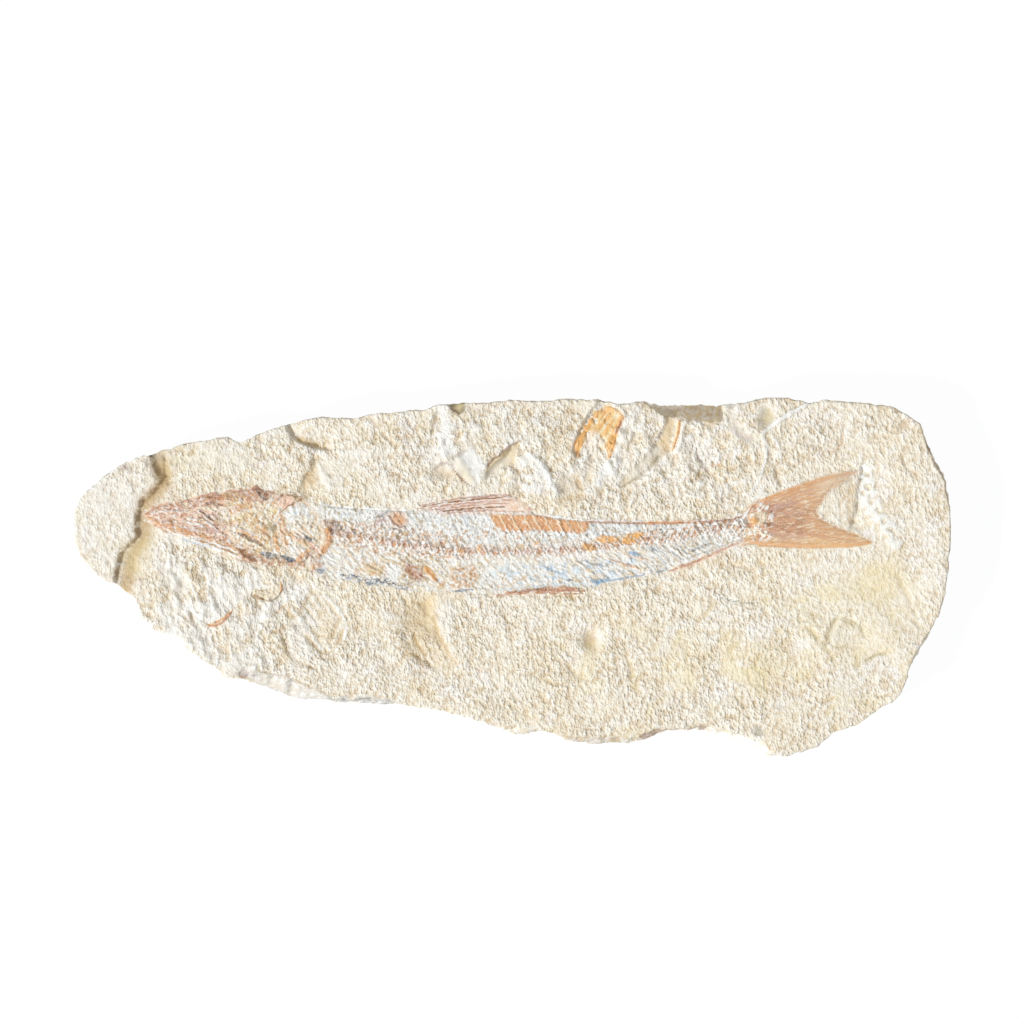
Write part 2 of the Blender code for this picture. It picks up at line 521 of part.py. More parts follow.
def slab_block(collection):
    """The slab: its fossil face, the broken side round it and the flat back."""
    outline = loop_of((BELLY_EDGE, TAIL_EDGE, BACK_EDGE, SNOUT_EDGE), SLAB_CELLS)
    into = inward(outline, RIM_REACH)
    setback = outline[:, 2:]
    rim = outline[:, :2] + into * setback
    grid = filled(rim, SLAB_CELLS)
    bm = bmesh.new()
    numbered_grid(bm, grid, bed_height(grid[..., 0], grid[..., 1]))
    edges = [edge for edge in bm.edges if edge.is_boundary]
    rim_height = bed_height(rim[:, 0], rim[:, 1])
    for order, ring in enumerate(WALL_RINGS):
        grain = outline[:, :2] * SIDE_GRAIN + (0.0, order * SIDE_SHIFT)
        jitter = ring.jitter * swell(grain[:, 0], grain[:, 1])[:, None]
        places = outline[:, :2] + into * (ring.share * setback + ring.inset + jitter)
        if ring.height is None:
            heights = rim_height - ring.drop - ring.drop_share * setback[:, 0]
        else:
            heights = np.full(len(outline), ring.height)
        edges = extruded_ring(bm, edges, places, heights)
    bmesh.ops.contextual_create(bm, geom=edges)
    slab = object_from(bm, "limestone_slab", collection)
    slab.data.materials.append(finish_of("limestone_slab"))
    return slab


def bone_plate(name, shape, collection):
    """A thin plate with its relief on top and a flat base inside its pocket."""
    loop = loop_of(shape[:4], shape.cells)
    grid = filled(loop, shape.cells)
    u, v = (np.linspace(0.0, 1.0, cells + 1) for cells in shape.cells)
    bm = bmesh.new()
    numbered_grid(bm, grid, plate_height(name, grid, u[:, None], v[None, :]))
    edges = [edge for edge in bm.edges if edge.is_boundary]
    edges = extruded_ring(bm, edges, loop, np.full(len(loop), BED_HEIGHT - shape.depth))
    bmesh.ops.contextual_create(bm, geom=edges)
    plate = object_from(bm, name, collection)
    plate.data.materials.append(finish_of(name))
    return plate


def pocket_cutter(name, shape, collection):
    """The plate's outline in longer steps, wider and deeper by the gap, as a block that stands out
    of the slab."""
    loop = loop_of(shape[:4], [max(cells // 2, min(cells, POCKET_STEPS)) for cells in shape.cells])
    loop = loop - inward(loop, 1) * GAP
    bm = bmesh.new()
    bmesh.ops.create_circle(bm, cap_ends=True, segments=len(loop), radius=1.0)
    bm.verts.ensure_lookup_table()
    for vert, place in zip(bm.verts, loop):
        vert.co = to_metres(place, BED_HEIGHT - shape.depth - GAP)
    raised = bmesh.ops.extrude_face_region(bm, geom=bm.faces[:])["geom"]
    for vert in [item for item in raised if isinstance(item, bmesh.types.BMVert)]:
        vert.co.z = CUTTER_TOP * MM
    cutter = object_from(bm, name + "_pocket", collection)
    cutter.hide_render = True
    cutter.display_type = "WIRE"
    return cutter


def cut_pocket(slab, cutter):
    """Neighbouring pockets overlap in long thin slivers, which the exact solver fails on."""
    cut = slab.modifiers.new(cutter.name, "BOOLEAN")
    cut.operation = "DIFFERENCE"
    cut.solver = "MANIFOLD"
    cut.object = cutter


def new_collection(name):
    collection = bpy.data.collections.new(name)
    bpy.context.scene.collection.children.link(collection)
    return collection


def main():
    for leftover in list(bpy.data.objects):
        bpy.data.objects.remove(leftover)
    fossil = new_collection("fossil_fish_slab")
    cutters = new_collection("pocket_cutters")
    slab = slab_block(fossil)
    for name, shape in PLATES.items():
        bone_plate(name, shape, fossil)
        cut_pocket(slab, pocket_cutter(name, shape, cutters))


main()
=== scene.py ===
"""The looks of a fossil fish on its limestone slab.

The slab's rough face, its broken side and its back are one fine mesh. The fish's bones and fins, and
the loose scraps of bone and shell, are thin plates that come up through the stone's face. Every
surface is painted point by point from layers: each has a shape, a pigment, and how far it stands out.

Metres, +Z up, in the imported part's own frame. Sizes below are in millimetres unless they say
otherwise, and angles are in degrees from +X towards +Y.
"""

import logging
import math
from dataclasses import dataclass, field
from enum import Enum
from typing import Any, Optional, Protocol, Sequence, Union

import bmesh
import bpy
import numpy as np
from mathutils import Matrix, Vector


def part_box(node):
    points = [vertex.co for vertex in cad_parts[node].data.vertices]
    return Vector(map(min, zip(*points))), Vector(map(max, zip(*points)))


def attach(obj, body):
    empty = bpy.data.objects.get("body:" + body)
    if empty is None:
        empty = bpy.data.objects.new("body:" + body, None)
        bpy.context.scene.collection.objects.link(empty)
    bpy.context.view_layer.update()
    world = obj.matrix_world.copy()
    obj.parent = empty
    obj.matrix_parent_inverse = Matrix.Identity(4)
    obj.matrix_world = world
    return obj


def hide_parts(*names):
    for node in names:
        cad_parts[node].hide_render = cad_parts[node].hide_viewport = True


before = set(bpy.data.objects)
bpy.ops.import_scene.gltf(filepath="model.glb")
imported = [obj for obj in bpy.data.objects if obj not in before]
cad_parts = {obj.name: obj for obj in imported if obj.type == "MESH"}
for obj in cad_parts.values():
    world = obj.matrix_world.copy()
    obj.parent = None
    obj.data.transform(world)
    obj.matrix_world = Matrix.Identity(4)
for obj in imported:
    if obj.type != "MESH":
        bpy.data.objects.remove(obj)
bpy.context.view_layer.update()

log = logging.getLogger("fossil_fish")

MM = 0.001
# How much of each step a cut of its corners takes from a run
CORNER_CUT = 0.25
# The noise's lattice, and what brings the noise to about -1 to 1
LATTICE = 256
NOISE_GAIN = 1.7
# The crumbs in each layer's paint: their size, how much they take from it, and the first seed
CRUMB_SIZE, CRUMB_PULL, CRUMB_SEED = 0.5, 0.4, 920
# How far layers waver beside their shapes: the lumps' size, the reach and the seed
WAVERS = ((1.3, 0.20, 901), (0.55, 0.08, 903))

Array = np.ndarray
Run = Sequence[tuple[float, float]]
Edges = list[bmesh.types.BMEdge]


# Runs of points


def along(run: Run, count: int) -> Array:
    """Places at even steps along a run.

    Args:
        run: Points, each with any number of values after x and y.
        count: How many steps to take.

    Returns:
        count + 1 rows, the run's ends included.
    """
    points = np.array(run, float)
    steps = np.hypot(*np.diff(points[:, :2], axis=0).T)
    travelled = np.concatenate([[0.0], np.cumsum(steps)])
    wanted = np.linspace(0.0, travelled[-1], count + 1)
    return np.column_stack([np.interp(wanted, travelled, column) for column in points.T])


def softened(run: Run, rounds: int = 2) -> list[tuple[float, ...]]:
    """A run with its corners cut, its ends kept.

    Args:
        run: The points.
        rounds: How many times to cut.

    Returns:
        The new points.
    """
    points = [tuple(point) for point in run]
    for _ in range(rounds):
        cut = [points[0]]
        for first, second in zip(points[:-1], points[1:]):
            near, far = np.array(first), np.array(second)
            cut.append(tuple((1.0 - CORNER_CUT) * near + CORNER_CUT * far))
            cut.append(tuple(CORNER_CUT * near + (1.0 - CORNER_CUT) * far))
        points = cut + [points[-1]]
    return points


def turned(x: Array, y: Array, lean: float) -> tuple[Array, Array]:
    """How far places lie along a direction and to its left."""
    cos, sin = math.cos(math.radians(lean)), math.sin(math.radians(lean))
    return x * cos + y * sin, y * cos - x * sin


def eased(share: Array) -> Array:
    """A smooth step from 0 to 1."""
    share = np.clip(share, 0.0, 1.0)
    return share * share * (3.0 - 2.0 * share)


def nearest(run: Run, x: Array, y: Array) -> tuple[Array, Array, Array]:
    """Where places lie along a run and beside it.

    Args:
        run: The points.
        x: Places along X.
        y: Places along Y.

    Returns:
        The distance, positive to the left of the run, the length travelled at the nearest point, and
        how far past either end the place is.
    """
    away = np.full(x.shape, np.inf)
    side, travelled, past = np.ones(x.shape), np.zeros(x.shape), np.zeros(x.shape)
    start, last = 0.0, len(run) - 2
    for number, ((ax, ay), (bx, by)) in enumerate(zip(run[:-1], run[1:])):
        dx, dy = bx - ax, by - ay
        length = math.hypot(dx, dy)
        free = ((x - ax) * dx + (y - ay) * dy) / length**2
        share = np.clip(free, 0.0, 1.0)
        gap = np.hypot(x - ax - share * dx, y - ay - share * dy)
        closer = gap < away
        away = np.where(closer, gap, away)
        side = np.where(closer, np.sign(dx * (y - ay) - dy * (x - ax)), side)
        travelled = np.where(closer, start + share * length, travelled)
        beyond = np.where(free < 0.0, number == 0, number == last) * np.abs(free - share) * length
        past = np.where(closer, beyond, past)
        start += length
    return away * side, travelled, past


def length_of(run: Run) -> float:
    """The length of a run."""
    return float(np.hypot(*np.diff(np.array(run, float)[:, :2], axis=0).T).sum())


def depth_inside(outline: Run, x: Array, y: Array) -> Array:
    """How deep places lie in a closed outline.

    Args:
        outline: The corners, the first not repeated.
        x: Places along X.
        y: Places along Y.

    Returns:
        The distance to the outline, negative outside it.
    """
    closed = [tuple(point[:2]) for point in outline] + [tuple(outline[0][:2])]
    away, _, _ = nearest(closed, x, y)
    inside = np.zeros(x.shape, bool)
    for (ax, ay), (bx, by) in zip(closed[:-1], closed[1:]):
        if ay != by:
            crosses = ((ay > y) != (by > y)) & (x < (bx - ax) * (y - ay) / (by - ay) + ax)
            inside ^= crosses
    return np.abs(away) * np.where(inside, 1.0, -1.0)


@dataclass(frozen=True)
class Grain:
    """Smooth noise with lumps of one size, drawn out along one direction."""

    size: float
    seed: int
    stretch: float = 1.0
    lean: float = 0.0

    def at(self, x: Array, y: Array) -> Array:
        """Noise between about -1 and 1.

        Args:
            x: Places along X.
            y: Places along Y.

        Returns:
            One value for each place.
        """
        turns = np.random.default_rng(self.seed).uniform(0.0, 2.0 * math.pi, (LATTICE, LATTICE))
        along_lean, beside = turned(x, y, self.lean)
        u, v = along_lean / (self.size * self.stretch), beside / self.size
        i, j = np.floor(u).astype(int), np.floor(v).astype(int)
        du, dv = u - i, v - j

        def corner(a: int, b: int) -> Array:
            """The pull of one corner of the lattice's cell."""
            turn = turns[(i + a) % LATTICE, (j + b) % LATTICE]
            return np.cos(turn) * (du - a) + np.sin(turn) * (dv - b)

        across, up = eased(du), eased(dv)
        low = corner(0, 0) * (1.0 - across) + corner(1, 0) * across
        high = corner(0, 1) * (1.0 - across) + corner(1, 1) * across
        return NOISE_GAIN * (low * (1.0 - up) + high * up)


# Shapes that layers have


class Shape(Protocol):
    """Anything that says how far it covers each place."""

    def cover(self, x: Array, y: Array) -> Array:
        """How far the shape covers each place, from 0 to 1."""


@dataclass(frozen=True)
class Line:
    """A line of one width that thins towards its ends."""

    width: float
    run: Run
    soft: float = 0.7

    def cover(self, x: Array, y: Array) -> Array:
        """How far the shape covers each place, from 0 to 1."""
        away, travelled, _ = nearest(self.run, x, y)
        share = travelled / length_of(self.run)
        half = 0.5 * self.width * (0.4 + 0.6 * np.sqrt(np.clip(4.0 * share * (1.0 - share), 0.0, 1.0)))
        return 1.0 - eased((np.abs(away) / half - 1.0) / self.soft + 0.5)


@dataclass(frozen=True)
class Valley:
    """A line with rounded sides that keeps its width."""

    width: float
    run: Run

    def cover(self, x: Array, y: Array) -> Array:
        """How far the shape covers each place, from 0 to 1."""
        away, _, _ = nearest(self.run, x, y)
        return np.exp(-((away / self.width) ** 2))


@dataclass(frozen=True)
class Spot:
    """An oval with a rounded middle."""

    x: float
    y: float
    radii: tuple[float, float]
    turn: float = 0.0

    def cover(self, x: Array, y: Array) -> Array:
        """How far the shape covers each place, from 0 to 1."""
        u, v = turned(x - self.x, y - self.y, self.turn)
        return np.exp(-(np.hypot(u / self.radii[0], v / self.radii[1]) ** 3))


@dataclass(frozen=True)
class Patch:
    """An area inside an outline."""

    outline: Run
    soft: float = 0.8

    def cover(self, x: Array, y: Array) -> Array:
        """How far the shape covers each place, from 0 to 1."""
        return eased(depth_inside(self.outline, x, y) / self.soft + 0.5)


@dataclass(frozen=True)
class Scarp:
    """Ground that drops to the left of a run and comes back up over its reach."""

    reach: float
    run: Run
    sharp: float = 0.5
    fade: float = 2.5

    def cover(self, x: Array, y: Array) -> Array:
        """How much of the drop each place has, from 0 to 1."""
        behind, _, past = nearest(self.run, x, y)
        drop = eased(behind / self.sharp + 0.5) * (1.0 - eased(behind / self.reach))
        return drop * (1.0 - eased(past / self.fade))


@dataclass(frozen=True)
class Shelf:
    """Everything to the right of a run."""

    run: Run
    sharp: float = 0.5

    def cover(self, x: Array, y: Array) -> Array:
        """How far the shape covers each place, from 0 to 1."""
        behind, _, _ = nearest(self.run, x, y)
        return eased(0.5 - behind / self.sharp)


@dataclass(frozen=True)
class Flecks:
    """Scattered flecks, over another shape or everywhere."""

    size: float
    seed: int
    share: float
    over: Optional[Shape] = None
    stretch: float = 1.0
    lean: float = 0.0

    def cover(self, x: Array, y: Array) -> Array:
        """How far the shape covers each place, from 0 to 1."""
        noise = Grain(self.size, self.seed, self.stretch, self.lean).at(x, y)
        noise = noise + 0.4 * Grain(0.5 * self.size, self.seed + 1, self.stretch, self.lean).at(x, y)
        flecks = eased((noise - (1.0 - 2.0 * self.share)) / 0.3 + 0.5)
        return flecks if self.over is None else flecks * self.over.cover(x, y)


@dataclass(frozen=True)
class Hatch:
    """Fine parallel lines that come and go, over another shape."""

    pitch: float
    lean: float
    seed: int
    over: Shape
    thick: float = 0.35
    broken: float = 0.5

    def cover(self, x: Array, y: Array) -> Array:
        """How far the shape covers each place, from 0 to 1."""
        across = turned(x, y, self.lean)[1] / self.pitch
        across = across + 0.35 * Grain(5.0 * self.pitch, self.seed).at(x, y)
        away = np.abs(across - np.round(across)) / (0.5 * self.thick)
        lines = 1.0 - eased((away - 1.0) / 0.9 + 0.5)
        ground = Grain(2.2 * self.pitch, self.seed + 1, 2.5, self.lean).at(x, y)
        return lines * eased(0.5 + ground + (0.5 - self.broken)) * self.over.cover(x, y)


@dataclass(frozen=True)
class Hourglasses:
    """Bodies of a backbone, wide where they meet and narrow between."""

    run: Run
    pitch: float
    waist: float
    flare: float

    def cover(self, x: Array, y: Array) -> Array:
        """How far the shape covers each place, from 0 to 1."""
        away, travelled, past = nearest(self.run, x, y)
        phase = travelled / self.pitch
        bend = np.abs(2.0 * (phase - np.floor(phase)) - 1.0)
        half = self.waist + (self.flare - self.waist) * bend**1.5
        return (1.0 - eased((np.abs(away) / half - 1.0) / 0.6 + 0.5)) * (1.0 - eased(past))


@dataclass(frozen=True)
class Zigzag:
    """A line that swings from side to side of a run."""

    run: Run
    pitch: float
    reach: float
    width: float

    def cover(self, x: Array, y: Array) -> Array:
        """How far the shape covers each place, from 0 to 1."""
        away, travelled, past = nearest(self.run, x, y)
        phase = travelled / self.pitch
        swing = self.reach * (4.0 * np.abs(phase - np.floor(phase) - 0.5) - 1.0)
        line = 1.0 - eased((np.abs(away - swing) / self.width - 1.0) / 0.8 + 0.5)
        return line * (1.0 - eased(past))


class Pigment(Enum):
    """Colours of the stone and of what lies in it, as red, green and blue shares on screen."""

    CREAM = (0.93, 0.89, 0.80)
    CHALK = (0.965, 0.96, 0.945)
    WHITE = (0.95, 0.96, 0.965)
    ICE = (0.82, 0.89, 0.95)
    ASH = (0.74, 0.73, 0.72)
    GREY = (0.62, 0.62, 0.62)
    STRAW = (0.91, 0.86, 0.68)
    APRICOT = (0.85, 0.70, 0.55)
    HAZEL = (0.60, 0.50, 0.36)
    SAND = (0.87, 0.79, 0.64)
    TAN = (0.79, 0.69, 0.53)
    OLIVE = (0.62, 0.57, 0.46)
    YELLOW = (0.91, 0.79, 0.58)
    GOLD = (0.90, 0.68, 0.40)
    ORANGE = (0.86, 0.64, 0.45)
    RUST = (0.74, 0.54, 0.44)
    BROWN = (0.54, 0.39, 0.30)
    UMBER = (0.38, 0.28, 0.23)
    PINK = (0.94, 0.79, 0.71)
    MAUVE = (0.75, 0.61, 0.58)
    BLUE = (0.46, 0.62, 0.77)
    SLATE = (0.36, 0.42, 0.50)

    def linear(self) -> Array:
        """The colour as light adds up."""
        return np.array(self.value) ** 2.2


(
    CREAM, CHALK, WHITE, ICE, ASH, GREY, STRAW, APRICOT, HAZEL, SAND, TAN, OLIVE, YELLOW, GOLD, ORANGE,
    RUST, BROWN, UMBER, PINK, MAUVE, BLUE, SLATE,
) = Pigment


@dataclass(frozen=True)
class Layer:
    """One shape laid over what is there: its pigment, how strongly it colours, and its height.

    It can also smooth the grain under it.
    """

    shape: Shape
    pigment: Optional[Pigment] = None
    strength: float = 1.0
    rise: float = 0.0
    smooth: float = 0.0


def layered(*rows: tuple[Any, ...]) -> tuple[Layer, ...]:
    """Layers from rows that each hold a layer's values in order."""
    return tuple(Layer(*row) for row in rows)


@dataclass
class Ground:
    """Places on a surface: height, the painted shade of its grain's hollows, the grain's relief, and the
    paint laid so far.
    """

    x: Array
    y: Array
    height: Array
    grain: Array
    relief: Any = 0.0
    rough: Any = 1.0
    paint: Array = field(init=False)
    cover: Array = field(init=False)

    def __post_init__(self) -> None:
        """Starts without paint."""
        self.paint = np.zeros(self.x.shape + (3,))
        self.cover = np.zeros(self.x.shape)
        self.relief = self.relief + np.zeros(self.x.shape)
        self.rough = self.rough + np.zeros(self.x.shape)

    def part(self, chosen: Array) -> "Ground":
        """The places of a mask, as ground of their own."""
        part = Ground(self.x[chosen], self.y[chosen], self.height[chosen], self.grain[chosen],
                      self.relief[chosen], self.rough[chosen])
        part.paint, part.cover = self.paint[chosen], self.cover[chosen]
        return part

    def take(self, chosen: Array, part: "Ground") -> None:
        """Puts the places of a mask back."""
        self.height[chosen], self.rough[chosen] = part.height, part.rough
        self.paint[chosen], self.cover[chosen] = part.paint, part.cover

    def lay(self, layers: Sequence[Layer], share: Union[float, Array] = 1.0) -> None:
        """Lays layers one over the other.

        Args:
            layers: What to lay, the lowest first.
            share: How much of them each place takes.
        """
        x, y = self.x, self.y
        for size, reach, seed in WAVERS:
            x = x + reach * Grain(size, seed).at(self.x, self.y)
            y = y + reach * Grain(size, seed + 1).at(self.x, self.y)
        for number, layer in enumerate(layers):
            shape = layer.shape.cover(x, y) * share
            self.height = self.height + layer.rise * shape
            self.rough = self.rough * (1.0 - layer.smooth * shape)
            if layer.pigment is not None:
                crumbs = Grain(CRUMB_SIZE, CRUMB_SEED + number).at(self.x, self.y)
                laid = layer.strength * shape * np.clip(1.0 + CRUMB_PULL * crumbs, 0.0, 1.0)
                self.paint = self.paint * (1.0 - laid[..., None])
                self.paint += layer.pigment.linear() * laid[..., None]
                self.cover = self.cover * (1.0 - laid) + laid

    def tint(self) -> Array:
        """Red, green, blue and how much of the stone's own colour they hide, for each place."""
        colour = self.paint / np.maximum(self.cover, 1e-4)[..., None]
        return np.concatenate([colour, self.cover[..., None]], axis=-1)


# What the stone's face shows

BED_HEIGHT = 13.0
FLAKE_SCARP = (
    (-87.6, 31), (-87, 28.5), (-86.5, 26.5), (-85.4, 25), (-84.5, 23.8), (-85.3, 22.3), (-86.2, 20.8),
    (-88, 19.5), (-89.6, 18), (-90.3, 15), (-90.6, 13), (-90.3, 9.6), (-91.8, 8.2), (-93.5, 6.7),
    (-94.5, 5), (-95, 3), (-96.4, -4),
)
FISH_AXIS = ((-88.0, 15.0), (-60.0, 12.0), (-30.0, 6.5), (0.0, 5.5), (40.0, 8.0), (86.0, 15.0))

UNDER_HEAD = ((-86, 6), (-60, 2), (-56, -8), (-60, -22), (-76, -18), (-88, -6))
PRINT = (
    (-54, -3.4), (-49, -2.8), (-44.6, -4.4), (-40.6, -8.6), (-39.4, -12.6), (-41, -15.4), (-44.4, -18.8),
    (-48, -16.8), (-51.6, -13.4), (-53.6, -8.6),
)
